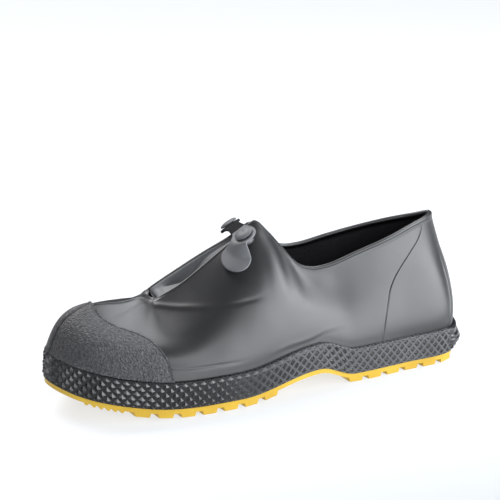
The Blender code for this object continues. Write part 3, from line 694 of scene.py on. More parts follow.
def vamp_and_sides(share, v):
    """The marks beside the flap, on the vamp, beside the cap and over the arch."""
    foot = foot_of(share)
    around, upwards = stretch_of_skin(share, v)
    above_flap = (v - v_of(FLAP_LINE, foot)) * upwards * FLAP_SLANT
    relief = marked(FLAP_SWELL, above_flap, foot) + marked(FLAP_TROUGH, above_flap, foot)

    signed = np.where(np.asarray(share) % 2 <= 1, foot, -foot)
    beside = (signed - at_of(VAMP_RIDGE, v)) * around
    vamp = VAMP_RISE * ridge(beside, VAMP_HALF_WIDTH) - VAMP_STEP * ease(-beside / VAMP_SLOPE)
    relief += vamp * window(v, *VAMP_HEIGHTS) * window(signed, *VAMP_SPAN)

    above_welt = (v - v_of(WELT_LINE, foot)) * upwards
    relief += WELT_RISE * ease(-above_welt / WELT_SLOPE) * window(foot, *WELT_TROUGH.span)
    relief += marked(WELT_TROUGH, above_welt, foot)

    above_arch = (v - v_of(ARCH_LINE, foot)) * upwards
    relief += marked(ARCH_CREASE, above_arch, foot)
    return relief + marked(ARCH_TROUGH, above_arch + ARCH_TROUGH_BELOW, foot)


def mould_relief(share, v):
    """How far the outside stands off the plain last, for the lines of the mould."""
    upwards = stretch_of_skin(share, v)[1]
    foot_swell = flare(on_section(share, v)[..., 0], v * upwards, WALL_FILL)
    return foot_swell + heel_and_hem(share, v) + vamp_and_sides(share, v)


print("counter line meets the band at", v_of([row[::-1] for row in COUNTER_LINE], 0.0))

# %% [markdown]
# ## Upper
# The upper is one moulding: vamp, flaps, quarters and heel, about two millimetres thick,
# with a small bead round the collar and the throat. The grid goes once round the boot and,
# in its other direction, up the outside, over the bead and down the inside, so the wall is closed.
# The columns are drawn to the counter line, so that it stays sharp without a very fine mesh.
# Below the front of the collar the sections turn quickly, which leaves waves in the wall.
# There the corners are averaged with their neighbours, as a toolmaker evens out a mould.

# %% Rows and columns of the upper
UPPER_COLUMNS = 560
OUTER_ROWS = 108
INNER_ROWS = 20
BEAD_ROWS = 9
BEAD_FROM, BEAD_TO = -36, 216
RIM_V = 0.985
COUNTER_MIDDLE = 0.75
COUNTER_DRAW = [(0.50, 0.0), (COUNTER_MIDDLE, 1.0), (1.00, 0.0)]
COLUMN_DENSITY = [
    (0.0, 1.6), (0.05, 1.0), (0.28, 1.0), (0.55, 1.0), (0.71, 0.9),
    (0.735, 3.2), (0.765, 3.2), (0.79, 0.9), (1.0, 1.0),
]
WallRow = namedtuple("WallRow", "v bead_angle outside at_foot")


def column_feet(u):
    """Where the columns stand on one side, for u from 0 at the toe to 1 at the heel."""
    fine = np.linspace(0, 1, 800)
    run = np.concatenate([[0], np.cumsum(lines_through(COLUMN_DENSITY, fine)[1:])])
    return np.interp(u * run[-1], run, fine)


def wall_rows():
    """The rows of the wall's section; a row that isn't on the bead has no bead angle."""
    plain = math.nan
    rows = [WallRow(0.0, plain, True, True)]
    rows += [WallRow(v, plain, True, False) for v in np.linspace(0, RIM_V, OUTER_ROWS)]
    turns = np.radians(np.linspace(BEAD_FROM, BEAD_TO, BEAD_ROWS))
    rows += [WallRow(1.0, turn, True, False) for turn in turns]
    rows += [WallRow(v, plain, False, False) for v in np.linspace(RIM_V, 0, INNER_ROWS)]
    return rows + [WallRow(0.0, plain, False, True), WallRow(0.0, plain, True, True)]


WALL_ROWS = wall_rows()
LAST_ROW = len(WALL_ROWS) - 1
print("rows over the wall:", len(WALL_ROWS))

# %% Upper
# The bead's radius, and how far it is sunk below the edge (mm), from toe to heel.
BEAD_RADII = [
    (0.0, 1.00), (0.27, 1.02), (0.33, 1.25), (0.44, 1.30),
    (0.52, 1.6), (0.80, 1.6), (0.92, 1.9), (1.0, 1.9),
]
BEAD_DROPS = [(0.27, 1.0), (0.33, 0.5)]
COLLAR_FRONT, COLLAR_WALL = (0.45, 0.53, 0.59, 0.65), (0.2, 0.45, 0.90, 0.98)
EVEN_PASSES, EVEN_SHARE, EVEN_MOST = 120, 0.8, 1.4 * MM


def evened(points, weight, columns):
    """Evens out a grid of points where weight is 1, moving none by more than EVEN_MOST."""
    grid = points.reshape(-1, columns, 3).copy()
    weight = EVEN_SHARE * weight.reshape(-1, columns, 1)[1:-1, 1:-1]
    for _ in range(EVEN_PASSES):
        middle = (grid[:-2, 1:-1] + grid[2:, 1:-1] + grid[1:-1, :-2] + grid[1:-1, 2:]) / 4
        grid[1:-1, 1:-1] += weight * (middle - grid[1:-1, 1:-1])
    moved = grid.reshape(-1, 3) - points
    far = np.maximum(np.linalg.norm(moved, axis=1, keepdims=True), 1e-9)
    return points + moved * EVEN_MOST * np.tanh(far / EVEN_MOST) / far


def upper_place(u, w):
    """Places the corners of the upper's grid: u goes round the boot, w over the wall's section."""
    row = np.rint(w * LAST_ROW).astype(int)
    v, bead_angle, outside, at_foot = (np.array(column)[row] for column in zip(*WALL_ROWS))
    foot = column_feet(1 - np.abs(2 * u - 1))
    foot = foot + lines_through(COUNTER_DRAW, foot) * (at_of(COUNTER_LINE, v) - COUNTER_MIDDLE)
    share = np.where(u <= 0.5, foot, 2 - foot)
    on_bead = ~np.isnan(bead_angle)
    angle = np.where(on_bead, bead_angle, 0)
    radius, drop = (lines_through(table, foot) * MM for table in (BEAD_RADII, BEAD_DROPS))
    lift = np.where(outside, np.where(at_foot, 0, mould_relief(share, v)), -WALL)
    lift = np.where(on_bead, -WALL / 2 + radius * np.cos(angle), lift)
    rim = unit(on_section(share, np.ones_like(v)) - on_section(share, np.full_like(v, RIM_V)))
    over = np.where(on_bead, radius * np.sin(angle) - drop, 0)
    points = skin(share, v, lift) + rim * over[:, None]
    points[:, 2] = np.where(at_foot, band_low(points[:, 0]) + FLOOR_THICK + 2 * GAP, points[:, 2])
    below_collar = window(foot, *COLLAR_FRONT) * window(v, *COLLAR_WALL) * outside * ~on_bead
    order = np.lexsort((u, row))
    points[order] = evened(points[order], below_collar[order], UPPER_COLUMNS + 1)
    return points


def inside(u, w):
    """Picks the lining: the wall's rows from just below the bead down."""
    return w * LAST_ROW > 2 + OUTER_ROWS + BEAD_ROWS


bm = sheet(UPPER_COLUMNS, LAST_ROW, upper_place, second_finish=inside)
add_piece("moulded_upper", bm, [satin_vinyl, lining_and_strap_shade], "black_vinyl", "upper")

# %% [markdown]
# ## Toe cap
# The toe is covered by a pebbled panel, edged by a narrow smooth bead and split by a smooth rib
# up the middle, where the two halves of the mould met. Pebbles could be bump alone, but their relief
# shows along the edges, so the larger ones are moved in the mesh and bump adds the finer grain.

# %% Toe cap
# The cap's edge: share of the way from toe to heel, v up the section.
CAP_EDGE = [
    (0.000, 0.668), (0.030, 0.662), (0.060, 0.638), (0.090, 0.620), (0.125, 0.617), (0.160, 0.615),
    (0.185, 0.608), (0.205, 0.584), (0.220, 0.553), (0.232, 0.520), (0.243, 0.465), (0.253, 0.390),
    (0.262, 0.295), (0.269, 0.200), (0.273, 0.070), (0.276, 0.000),
]
CAP_REACH = CAP_EDGE[-1][0]
PANEL_FOOT = 0.004
LEAST_CAP = 0.01
CAP_COLUMNS, CAP_ROWS = 440, 170
CAP_SPREAD = [(0.0, 0.0), (0.20, 0.075), (0.75, 0.74), (1.0, 1.0)]
# Height of the cap's skin (mm) by the distance from its edge (mm): a bead, then the panel behind it.
CAP_BEAD = [
    (-1.0, -0.4), (0.0, -0.4), (0.15, 0.5), (0.5, 1.0), (0.9, 1.05), (1.3, 0.85), (1.8, 0.55), (2.6, 0.65),
]
CAP_RIB, CAP_RIB_SLOPE = 0.60 * MM, 1.0 * MM
RIB_HALF_SHARE, RIB_TAPER = 0.0155, 0.9
RIB_TAPER_FROM, RIB_TAPER_OVER = 0.48, 0.19
CAP_GROOVE, CAP_GROOVE_HALF, CAP_GROOVE_OUT = 1.00 * MM, 0.55 * MM, 0.5 * MM
PEBBLE = 1.7 * MM
PEBBLE_HEIGHT = 0.16 * MM


def cap_edge(foot):
    """How far up the section the toe cap reaches, from its top on the centre line down to the band."""
    edge = curve_through(CAP_EDGE, np.minimum(np.abs(foot), CAP_REACH))
    return np.maximum(edge, PANEL_FOOT + LEAST_CAP)


def pebble(points):
    """Rounded grains: 1 on top of each, 0 between them."""
    near = np.array([noise.voronoi(Vector(p / PEBBLE))[0][0] for p in points])
    return 1 - np.clip(near / 0.5, 0, 1) ** 2


def distance_to(points, curve):
    return np.min(np.linalg.norm(points[:, None, :] - curve[None, :, :], axis=2), axis=1)


def cap_place(u, w):
    """The cap's outside: its bead at the edge, the rib in the middle and pebbles between."""
    turn = 2 * u - 1
    share = CAP_REACH * np.sign(turn) * lines_through(CAP_SPREAD, np.abs(turn))
    v = PANEL_FOOT + (cap_edge(share) - PANEL_FOOT) * w
    plain = skin(share, v)
    along_edge = np.linspace(-CAP_REACH, CAP_REACH, 320)
    edge = skin(along_edge, cap_edge(along_edge))
    from_edge = np.concatenate([distance_to(part, edge) for part in np.array_split(plain, 40)]) / MM
    around, upwards = stretch_of_skin(share, v)
    lift = lines_through(CAP_BEAD, from_edge) * MM
    lift = lift + flare(plain[:, 0], v * upwards, CAP_FILL) * ease(from_edge)
    half = RIB_HALF_SHARE * (1 - RIB_TAPER * ease((v - RIB_TAPER_FROM) / RIB_TAPER_OVER))
    beside = (np.abs(share) - half) * around
    rib = ease(0.5 - beside / CAP_RIB_SLOPE)
    groove = ridge(beside - CAP_GROOVE_OUT, CAP_GROOVE_HALF) * ease((from_edge - 1.5) / 1.5)
    pebbled = ease((from_edge - 1.9) / 0.6) * ease((beside - 1.2 * MM) / (0.5 * MM))
    lift = lift + CAP_RIB * rib - CAP_GROOVE * groove + PEBBLE_HEIGHT * pebble(plain) * pebbled
    return skin(share, v, lift)


bm = sheet(CAP_COLUMNS, CAP_ROWS, cap_place)
add_piece("pebbled_toe_cap", bm, [pebbled_vinyl], "grained_vinyl", "toe_cap")

# %% [markdown]
# ## Heel stay
# A broad strip up the back of the heel stands a millimetre proud. It is widest at the band,
# where the kick-off spur is, and narrows upwards. Its edges are rounded in the grid itself:
# the columns are closer together there, and a table says how the edge rises.

# %% Heel stay
STAY_COLUMNS, STAY_ROWS = 110, 70
STAY_RISE = 0.9 * MM
STAY_TOP = 0.80
STAY_FADES_FROM, STAY_SINK = 0.40, 1.3
# Half the strip's width, as a share round the sole, by v up the section.
STAY_WIDTHS = [
    (0.00, 0.108), (0.15, 0.104), (0.28, 0.093), (0.38, 0.085),
    (0.51, 0.078), (0.61, 0.068), (0.70, 0.055), (0.80, 0.040),
]
# Share of the rise by the distance from the side (mm).
STAY_EDGE = [(-1.0, -0.35), (0.0, -0.35), (0.9, 0.45), (1.8, 0.85), (3.0, 1.0), (9.0, 1.0)]
EDGE_CROWDING = 0.3


def stay_place(u, w):
    turn = 2 * u - 1
    turn = (1 - EDGE_CROWDING) * turn + EDGE_CROWDING * np.sin(math.pi / 2 * turn)
    v = PANEL_FOOT + (STAY_TOP - PANEL_FOOT) * w
    half = curve_through(STAY_WIDTHS, v)
    share = 1 + half * turn
    around, upwards = stretch_of_skin(share, v)
    from_side = half * (1 - np.abs(turn)) * around
    fade = 1 - STAY_SINK * ease((v - STAY_FADES_FROM) / (STAY_TOP - STAY_FADES_FROM))
    lift = STAY_RISE * np.minimum(lines_through(STAY_EDGE, from_side / MM), fade)
    foot_swell = flare(on_section(share, v)[:, 0], v * upwards, WALL_FILL) * ease(from_side / (1.5 * MM))
    return skin(share, v, lift + foot_swell)


bm = sheet(STAY_COLUMNS, STAY_ROWS, stay_place)
add_piece("raised_heel_stay", bm, [satin_vinyl], "black_vinyl", "heel_stay")

# %% [markdown]
# ## Studded band
# The side of the sole is a band of small four-sided studs in staggered rows, which shed mud and grip.
# Studs could be copied one by one along the band, but they share their valleys, so one mesh is better.
# The band starts as a grid with a corner under every stud. Each square is split between its two low
# corners, and when the stud corners are dissolved a lattice of diamonds is left, with halves at both rims.
# A first inset leaves a narrow valley round each, which takes the matte finish, painted lighter towards the
# heel where more light falls, and a second one raises a blunt stud.
# The rims are drawn inwards by extrusion, to make the ledge, the wall and the floor inside.

# %% Side of the band
STUD_PITCH = 6.4 * MM
STUD_HEIGHTS = (0.0, 0.13, 0.315, 0.50, 0.685, 0.87, 1.0)
STUD_ROWS = len(STUD_HEIGHTS) - 1
HALF_STUDS = 4 * round(LOOP_LENGTH / STUD_PITCH / 2)
SPUR_HALF_WIDTH = 0.125
SPUR_SHOULDER = 0.42
SPUR_HEIGHTS = (0.16, 0.36, 0.46, 0.86)


def spur(share, height):
    """How far the kick-off spur stands out at a share round the sole and a share up the band."""
    sideways = ease((1 - np.abs(share - 1) / SPUR_HALF_WIDTH) / SPUR_SHOULDER)
    return SPUR_REACH * sideways * window(height, *SPUR_HEIGHTS)


def band_side(share, height, out=0.0):
    """A point on the side of the band, out from its plain face."""
    base_x = outline(share)[..., 0]
    place = outline(share, band_inset(base_x, height) - out - spur(share, height))
    return np.stack([place[..., 0], place[..., 1], band_low(base_x) + BAND_HEIGHT * height], -1)


bm = bmesh.new()
bmesh.ops.create_grid(bm, x_segments=HALF_STUDS, y_segments=STUD_ROWS, size=0.5)
share_of = bm.verts.layers.float.new("share")
is_tip = bm.verts.layers.int.new("tip")
for vert in bm.verts:
    column = round((vert.co.x + 0.5) * HALF_STUDS)
    row = round((vert.co.y + 0.5) * STUD_ROWS)
    vert[share_of] = 2 * (column % HALF_STUDS) / HALF_STUDS
    vert[is_tip] = (row + column) % 2 == 0
    vert.co = band_side(np.array(vert[share_of]), np.array(STUD_HEIGHTS[row]))
bmesh.ops.remove_doubles(bm, verts=bm.verts, dist=0.02 * MM)
for face in bm.faces[:]:
    valley = [vert for vert in face.verts if not vert[is_tip]]
    if len(valley) == 2:
        bmesh.utils.face_split(face, *valley)
tips = [vert for vert in bm.verts if vert[is_tip] and not vert.is_boundary]
bmesh.ops.dissolve_verts(bm, verts=tips)
print("faces in the lattice:", len(bm.faces))

# %% Studs
STUD_HEIGHT = 1.15 * MM
STUD_VALLEY = 0.68 * MM
STUD_SLOPE = 1.45 * MM
HALF_VALLEY, HALF_SLOPE = 0.6, 0.4
ABOVE_SPUR = 0.1
LINING_INDEX, VALLEY_INDEX = 1, 2
TREAD_TOE, TREAD_HEEL = (float(outline(share, OUTSOLE_INSET)[0]) for share in (0, 1))


def on_spur(face):
    sideways = max(abs(vert[share_of] - 1) for vert in face.verts)
    up = (face.calc_center_median().z - band_low(TREAD_HEEL)) / BAND_HEIGHT
    return sideways < SPUR_HALF_WIDTH and SPUR_HEIGHTS[0] < up < SPUR_HEIGHTS[-1] + ABOVE_SPUR


def inset_each(bm, faces, thickness, depth):
    bmesh.ops.inset_individual(bm, faces=faces, thickness=thickness, depth=depth, use_even_offset=True)


rims = [e for e in bm.edges if e.is_boundary]
heights = [sum((v.co.z - band_low(v.co.x)) for v in e.verts) / 2 for e in rims]
top_rim = [e for e, h in zip(rims, heights) if h > BAND_HEIGHT / 2]
low_rim = [e for e, h in zip(rims, heights) if h <= BAND_HEIGHT / 2]
diamonds = [face for face in bm.faces if len(face.verts) == 4 and not on_spur(face)]
halves = [face for face in bm.faces if len(face.verts) != 4 and not on_spur(face)]
plain_faces = set(bm.faces)
inset_each(bm, diamonds, STUD_VALLEY, 0)
inset_each(bm, halves, HALF_VALLEY * STUD_VALLEY, 0)
# The valleys take the matte finish, whose painted light grows towards the heel.
for face in bm.faces:
    if face not in plain_faces:
        face.material_index = VALLEY_INDEX
inset_each(bm, diamonds, STUD_SLOPE, STUD_HEIGHT)
inset_each(bm, halves, HALF_SLOPE * STUD_SLOPE, HALF_SLOPE * STUD_HEIGHT)
print("studs:", len(diamonds), "and", len(halves), "halves")

# %% Ledge and floor of the band
FLOOR_RINGS = 10


def sole_ring(share, inset, part, height):
    """A ring's point: part of the way across the sole from its edge, at a height over the band's base."""
    edge = outline(share, inset)
    place = edge + (outline(2 - share, inset) - edge) / 2 * part
    return np.array([*place, band_low(place[0]) + height])


def draw_in(bm, rim, stations):
    """Extrudes a rim through rings, each placed by sole_ring from the share that its corners carry."""
    for inset, part, height in stations:
        grown = bmesh.ops.extrude_edge_only(bm, edges=rim)["geom"]
        rim = [e for e in grown if isinstance(e, bmesh.types.BMEdge)]
        for vert in (g for g in grown if isinstance(g, bmesh.types.BMVert)):
            vert.co = sole_ring(vert[share_of], inset, part, height)


across = [k / FLOOR_RINGS for k in range(FLOOR_RINGS + 1)]
ledge = [(BAND_WALL, 0, BAND_HEIGHT)]
draw_in(bm, top_rim, ledge + [(BAND_WALL, part, FLOOR_THICK) for part in across])
draw_in(bm, low_rim, [(OUTSOLE_INSET, part, 0.0) for part in across])
bmesh.ops.remove_doubles(bm, verts=bm.verts, dist=0.005 * MM)
bmesh.ops.recalc_face_normals(bm, faces=bm.faces)
for face in bm.faces:
    middle = face.calc_center_median()
    if face.normal.z > 0.8 and middle.z - band_low(middle.x) < FLOOR_THICK + 1 * MM:
        face.material_index = LINING_INDEX
add_piece("studded_band", bm, [stud_vinyl, lining_and_strap_shade, matte_vinyl], "band_vinyl", "midsole", sharp=22)

# %% [markdown]
# ## Kick-off spur
# Behind the heel the band swells into a ledge, so that the other foot can push the boot off.
# It is ribbed along its length for grip. One grid takes its swelling and its ribs from two functions,
# and its edges dive under the band's skin, so that no gap shows.

# %% Kick-off spur
SPUR_COLUMNS, SPUR_ROWS = 90, 64
SPUR_WIDTH_SHARE = 0.99
SPUR_LOW, SPUR_TALL = 0.10, 0.88
SPUR_RIBS = 4
RIB_RISE = 0.6 * MM
LIP_RISE, LIP_HALF_WIDTH, LIP_AT = 0.8 * MM, 0.9 * MM, 0.94
SPUR_SKIRT = 0.9 * MM
SPUR_OUT = 0.3 * MM


def spur_place(u, w):
    turn = 2 * u - 1
    height = SPUR_LOW + SPUR_TALL * w
    taper = ease((1 - np.abs(turn)) / 0.20)
    ends = ease(w / 0.07) * ease((1 - w) / 0.05)
    ribs = RIB_RISE * np.abs(np.sin(math.pi * SPUR_RIBS * np.clip((w - 0.1) / 0.8, 0, 1)))
    lip = LIP_RISE * ridge((height - LIP_AT) * BAND_HEIGHT, LIP_HALF_WIDTH)
    out = (SPUR_SKIRT + SPUR_OUT + ribs + lip) * taper * ends - SPUR_SKIRT
    return band_side(1 + SPUR_HALF_WIDTH * SPUR_WIDTH_SHARE * turn, height, out)


bm = sheet(SPUR_COLUMNS, SPUR_ROWS, spur_place)
add_piece("ribbed_spur", bm, [stud_vinyl], "band_vinyl")

# %% [markdown]
# ## Outsole
# The yellow outsole is a thin plate with bars across it: long ones under the ball, short teeth at the
# toe and bars under the heel, with a plain waist. The plate is a grid bent into a flat tube.
# Each bar is a cube that is cut across, bevelled, bent to a shallow V and laid under the plate.

# %% Plate of the outsole
PLATE_COLUMNS, PLATE_ROWS = 150, 16
PLATE_LAST_ROW = 2 * PLATE_ROWS + 2
FLUSH_TOE, FLUSH_ENDS_AT = 1.5 * MM, 0.09


def plate_edge(share):
    """The plate's outline: flush with the band at the toe, drawn in elsewhere."""
    at_toe = ease(1 - along_of(outline(share)[..., 0]) / FLUSH_ENDS_AT)
    return outline(share, OUTSOLE_INSET - FLUSH_TOE * at_toe)


def plate_place(u, w):
    """A flat tube: along the bottom from the outer edge, up the inner edge, and back along the top."""
    share = 0.5 - 0.5 * np.cos(math.pi * u)
    row = np.rint(w * PLATE_LAST_ROW).astype(int)
    closing = row == PLATE_LAST_ROW
    on_top = (row > PLATE_ROWS) & ~closing
    part = np.where(on_top, 2 * PLATE_ROWS + 1 - row, row) / PLATE_ROWS
    part = np.where(closing, 0, part)
    outer, inner = plate_edge(share), plate_edge(2 - share)
    place = outer + (inner - outer) * part[:, None]
    rise = LUG_DEPTH + np.where(on_top, PLATE_THICK, 0)
    return np.stack([place[:, 0], place[:, 1], sole_lift(place[:, 0]) + rise], -1)


bm = sheet(PLATE_COLUMNS, PLATE_LAST_ROW, plate_place)
bmesh.ops.recalc_face_normals(bm, faces=bm.faces)
print("faces in the plate:", len(bm.faces))

# %% Bars of the outsole
# Runs of bars as shares of the tread's length; wall (mm) is how far a side slants,
# depth a share of LUG_DEPTH.
LugRun = namedtuple("LugRun", "name start end count lug_share wall depth")
LUG_RUNS = [
    LugRun("toe serrations", 0.056, 0.139, 6, 0.20, 1.5, 0.55),
    LugRun("forefoot bars", 0.1515, 0.5015, 7, 0.65, 1.2, 1.0),
    LugRun("heel bars", 0.674, 0.980, 6, 0.68, 1.2, 1.0),
]
CHEVRON = 9 * MM
CHEVRON_FROM, CHEVRON_OVER = 0.04, 0.1
BAR_CUTS, BAR_BEVEL = 7, 0.06
BAR_SINK = 0.4 * MM
EDGE_STEPS = 240
EDGE = outline(np.linspace(0, 2, 2 * EDGE_STEPS + 1), OUTSOLE_INSET)


def tread_edge(x, inner):
    side = EDGE[EDGE_STEPS:][::-1] if inner else EDGE[: EDGE_STEPS + 1]
    return np.interp(x, side[:, 0], side[:, 1])


def add_bar(bm, start, end, wall, depth):
    """One bar across the tread between two shares of its length, its sides slanting out by wall."""
    bar = bmesh.new()
    bmesh.ops.create_cube(bar, size=1.0)
    lengthways = [e for e in bar.edges if abs(e.verts[0].co.y - e.verts[1].co.y) > 0.5]
    bmesh.ops.subdivide_edges(bar, edges=lengthways, cuts=BAR_CUTS, use_grid_fill=True)
    bmesh.ops.bevel(bar, geom=[e for e in bar.edges if e.calc_face_angle(0) > 1], offset=BAR_BEVEL,
                    offset_type="OFFSET", affect="EDGES", segments=2, profile=0.5, material=-1)
    for vert in bar.verts:
        along, part, up = (c + 0.5 for c in vert.co)
        x = TREAD_TOE + (TREAD_HEEL - TREAD_TOE) * (start + (end - start) * along)
        x += wall * up * (2 * along - 1)
        outer, inner = tread_edge(x, False), tread_edge(x, True)
        shift = CHEVRON * (1 - abs(2 * part - 1)) * (inner - outer) / BALL_WIDTH
        x = x - shift * ease((along_of(x) - CHEVRON_FROM) / CHEVRON_OVER)
        y = outer + (inner - outer) * part
        vert.co = (x, y, sole_lift(x) + LUG_DEPTH * (1 - depth * (1 - up)) + BAR_SINK * up)
    mesh = bpy.data.meshes.new("bar")
    bar.to_mesh(mesh)
    bar.free()
    bm.from_mesh(mesh)
    bpy.data.meshes.remove(mesh)


for run in LUG_RUNS:
    pitch = (run.end - run.start) / run.count
    for i in range(run.count):
        start = run.start + i * pitch
        add_bar(bm, start, start + run.lug_share * pitch, run.wall * MM, run.depth)
add_piece("yellow_outsole", bm, [yellow_vinyl], "yellow_vinyl", "outsole", sharp=35)

# %% [markdown]
# ## Gusset
# Under the strap a thin web joins the two flaps, folded like a bellows so that the throat can open.
# It is a grid across the throat, from under one flap's edge down into the fold and up under the other.
# A plain fold would be even from side to side. Here a flat strip lies along the outer flap,
# wide at the throat's foot and narrow at the top, and the fold drops beyond it.

# %% Gusset
GUSSET_COLUMNS, GUSSET_ROWS = 110, 90
GUSSET_THICK = 1.2 * MM
GUSSET_FROM, GUSSET_TO = 0.205, 0.458
GUSSET_LAP = 0.90
LAP_ROWS = 0.2
# How deep the fold drops (mm) from the throat's foot to the strap; below 0 it stands up.
GUSSET_FOLDS = [
    (0.00, 2.0), (0.245, 1.6), (0.275, 0.6), (0.295, -0.8), (0.315, 0.0), (0.34, 4.5),
    (0.365, 6.5), (0.39, 4.0), (0.41, 1.5), (0.43, 0.8), (0.46, 0.8), (0.49, 0.8),
]
NEAR_STRIP = [(0.29, 0.80), (0.31, 0.66), (0.34, 0.42), (0.365, 0.16), (0.38, 0.04), (0.40, 0.0)]
POCKET_TO, POCKET_SLOPE, POCKET_DEPTH = 0.72, 0.14, 1.15
CROWN_POWER = 1.6
FAR_RISE, FAR_FROM, FAR_OVER = 1.5 * MM, 0.6, 0.3


def gusset_place(u, w):
    foot = GUSSET_FROM + (GUSSET_TO - GUSSET_FROM) * u
    under = np.full_like(foot, -(WALL + 2 * GAP))
    lap = np.clip((LAP_ROWS - np.minimum(w, 1 - w)) / LAP_ROWS, 0, 1)
    v = 1 - (1 - GUSSET_LAP) * lap
    outer, inner = skin(foot, v, under), skin(2 - foot, v, under)
    to_far = np.clip((w - LAP_ROWS) / (1 - 2 * LAP_ROWS), 0, 1)
    points = outer + (inner - outer) * ease(to_far)[:, None]
    depth = curve_through(GUSSET_FOLDS, foot) * MM
    pocket = ease((to_far - lines_through(NEAR_STRIP, foot)) / POCKET_SLOPE)
    pocket = pocket * (1 - ease((to_far - POCKET_TO) / POCKET_SLOPE))
    crown = 1 - np.abs(2 * to_far - 1) ** CROWN_POWER
    points[:, 2] -= np.where(depth > 0, depth * POCKET_DEPTH * pocket, depth * crown)
    points[:, 2] += FAR_RISE * ease((to_far - FAR_FROM) / FAR_OVER) * (1 - lap)
    return points


bm = sheet(GUSSET_COLUMNS, GUSSET_ROWS, gusset_place, closed=False)
bmesh.ops.solidify(bm, geom=bm.faces[:], thickness=GUSSET_THICK)
add_piece("folded_gusset", bm, [strap_vinyl], "black_vinyl", "gusset", sharp=50)

# %% [markdown]
# ## Strap, pull tab and buttons
# A moulded strap holds the flaps together: it has a hole for each of two mushroom buttons,
# and ends in a round pull tab on the outer flap. It is drawn flat as a filled curve with a rounded edge,
# cut into narrow strips, and then laid over the flaps point by point. Stretched between its buttons,
# it pulls them towards each other, so they stand more upright than the flaps below them.
# The tab and its ring keep the paler strap vinyl, and the rest takes the dark lining finish as painted
# shade, where the strap lies in shadow between the flaps.
# The buttons are turned from a half profile.

# %% Where the strap crosses the flaps
STRAP_THICK = 2.0 * MM
STRAP_LIFT = 2.45 * MM
STRAP_AT = 0.458
INNER_HEIGHTS = (0.78, 0.84, 0.90, 0.95, 0.995)
OUTER_HEIGHTS = (0.995, 0.95, 0.90, 0.84, 0.76, 0.68, 0.60, 0.52, 0.44)

anchor = (skin(STRAP_AT, 1) + skin(2 - STRAP_AT, 1)) / 2
throat_way = skin(STRAP_AT + 0.02, 1) - skin(STRAP_AT - 0.02, 1)
throat_way[1] = 0
throat_way = unit(throat_way)


def crossing(v, inner):
    """The point of one flap at v, in the plane square to the throat, found by halving."""
    near, far = 0.30, 0.50
    for _ in range(30):
        middle = (near + far) / 2
        point = skin(2 - middle if inner else middle, v, STRAP_LIFT)
        near, far = (middle, far) if (point - anchor) @ throat_way < 0 else (near, middle)
    return point


strap_points = [crossing(v, True) for v in INNER_HEIGHTS] + [crossing(v, False) for v in OUTER_HEIGHTS]
strap_runs = run_along(strap_points)
inner_edge, outer_edge = strap_runs[len(INNER_HEIGHTS) - 1], strap_runs[len(INNER_HEIGHTS)]


def flap_tree(inner):
    """One flap's surface, lifted to the middle of the strap's thickness, for finding points on it."""

    def place(u, w):
        foot = 0.33 + 0.20 * u
        return skin(2 - foot if inner else foot, 0.40 + 0.60 * w, np.full_like(foot, STRAP_LIFT))

    bm = sheet(60, 60, place, closed=False)
    bm.normal_update()
    tree = BVHTree.FromBMesh(bm)
    bm.free()
    return tree


FLAPS = [flap_tree(True), flap_tree(False)]


def on_flap(run, aside):
    """(point, direction off the boot) on the flaps at a run along the strap and a distance aside."""
    step, high = 1 * MM, 15 * MM
    before, here, after = (smooth(strap_runs, strap_points, at) for at in (run - step, run, run + step))
    off = Vector(np.cross(after - before, throat_way)).normalized()
    base = Vector(here + throat_way * aside)
    hits = [flap.ray_cast(base + off * high, -off, 2 * high) for flap in FLAPS]
    hits = [hit for hit in hits if hit[0] is not None]
    if not hits:
        return base, off
    place, normal, _, _ = min(hits, key=lambda hit: hit[3])
    return place, normal if normal.dot(off) > 0 else -normal


print("gap below the strap:", round((outer_edge - inner_edge) / MM, 1), "mm")

# %% Seats of the buttons
RING_RADIUS = 8.4 * MM
RING_LIFT = 2.7 * MM
RING_EASE = 9.0 * MM
BUTTON_FROM_EDGE = 8.3 * MM
BUTTON_PULLS = (0.3, 0.8)
ButtonSeat = namedtuple("ButtonSeat", "run centre axis")


def button_seats():
    """The inner and the outer button's place: the strap lifts its rings and leans the buttons together."""
    runs = (inner_edge - BUTTON_FROM_EDGE, outer_edge + BUTTON_FROM_EDGE)
    places = [on_flap(run, 0) for run in runs]
    upright = (places[0][1] + places[1][1]).normalized()
    return [
        ButtonSeat(run, place + off * RING_LIFT, off.lerp(upright, pull).normalized())
        for run, (place, off), pull in zip(runs, places, BUTTON_PULLS)
    ]


inner_seat, outer_seat = button_seats()


def laid(run, aside):
    """(point, direction off the boot) on the strap's middle layer at a run along it and a distance aside.

    From button to button the strap is stretched; beyond its rings it comes down to lie on the flap.
    """
    ends = []
    for seat in (inner_seat, outer_seat):
        ahead = Vector(throat_way).cross(seat.axis).normalized()
        ends.append(seat.centre + ahead * (run - seat.run) + seat.axis.cross(ahead) * aside)
    across = min(max((run - inner_seat.run) / (outer_seat.run - inner_seat.run), 0), 1)
    stretched = ends[0].lerp(ends[1], across)
    axis = inner_seat.axis.lerp(outer_seat.axis, across).normalized()
    beyond = math.hypot(max(run - outer_seat.run, inner_seat.run - run, 0), aside)
    down = float(ease((beyond - RING_RADIUS) / RING_EASE))
    if down == 0:
        return stretched, axis
    place, off = on_flap(run, aside)
    return stretched.lerp(place, down), axis.lerp(off, down).normalized()


print("strap from button to button:", round((outer_seat.run - inner_seat.run) / MM, 1), "mm")


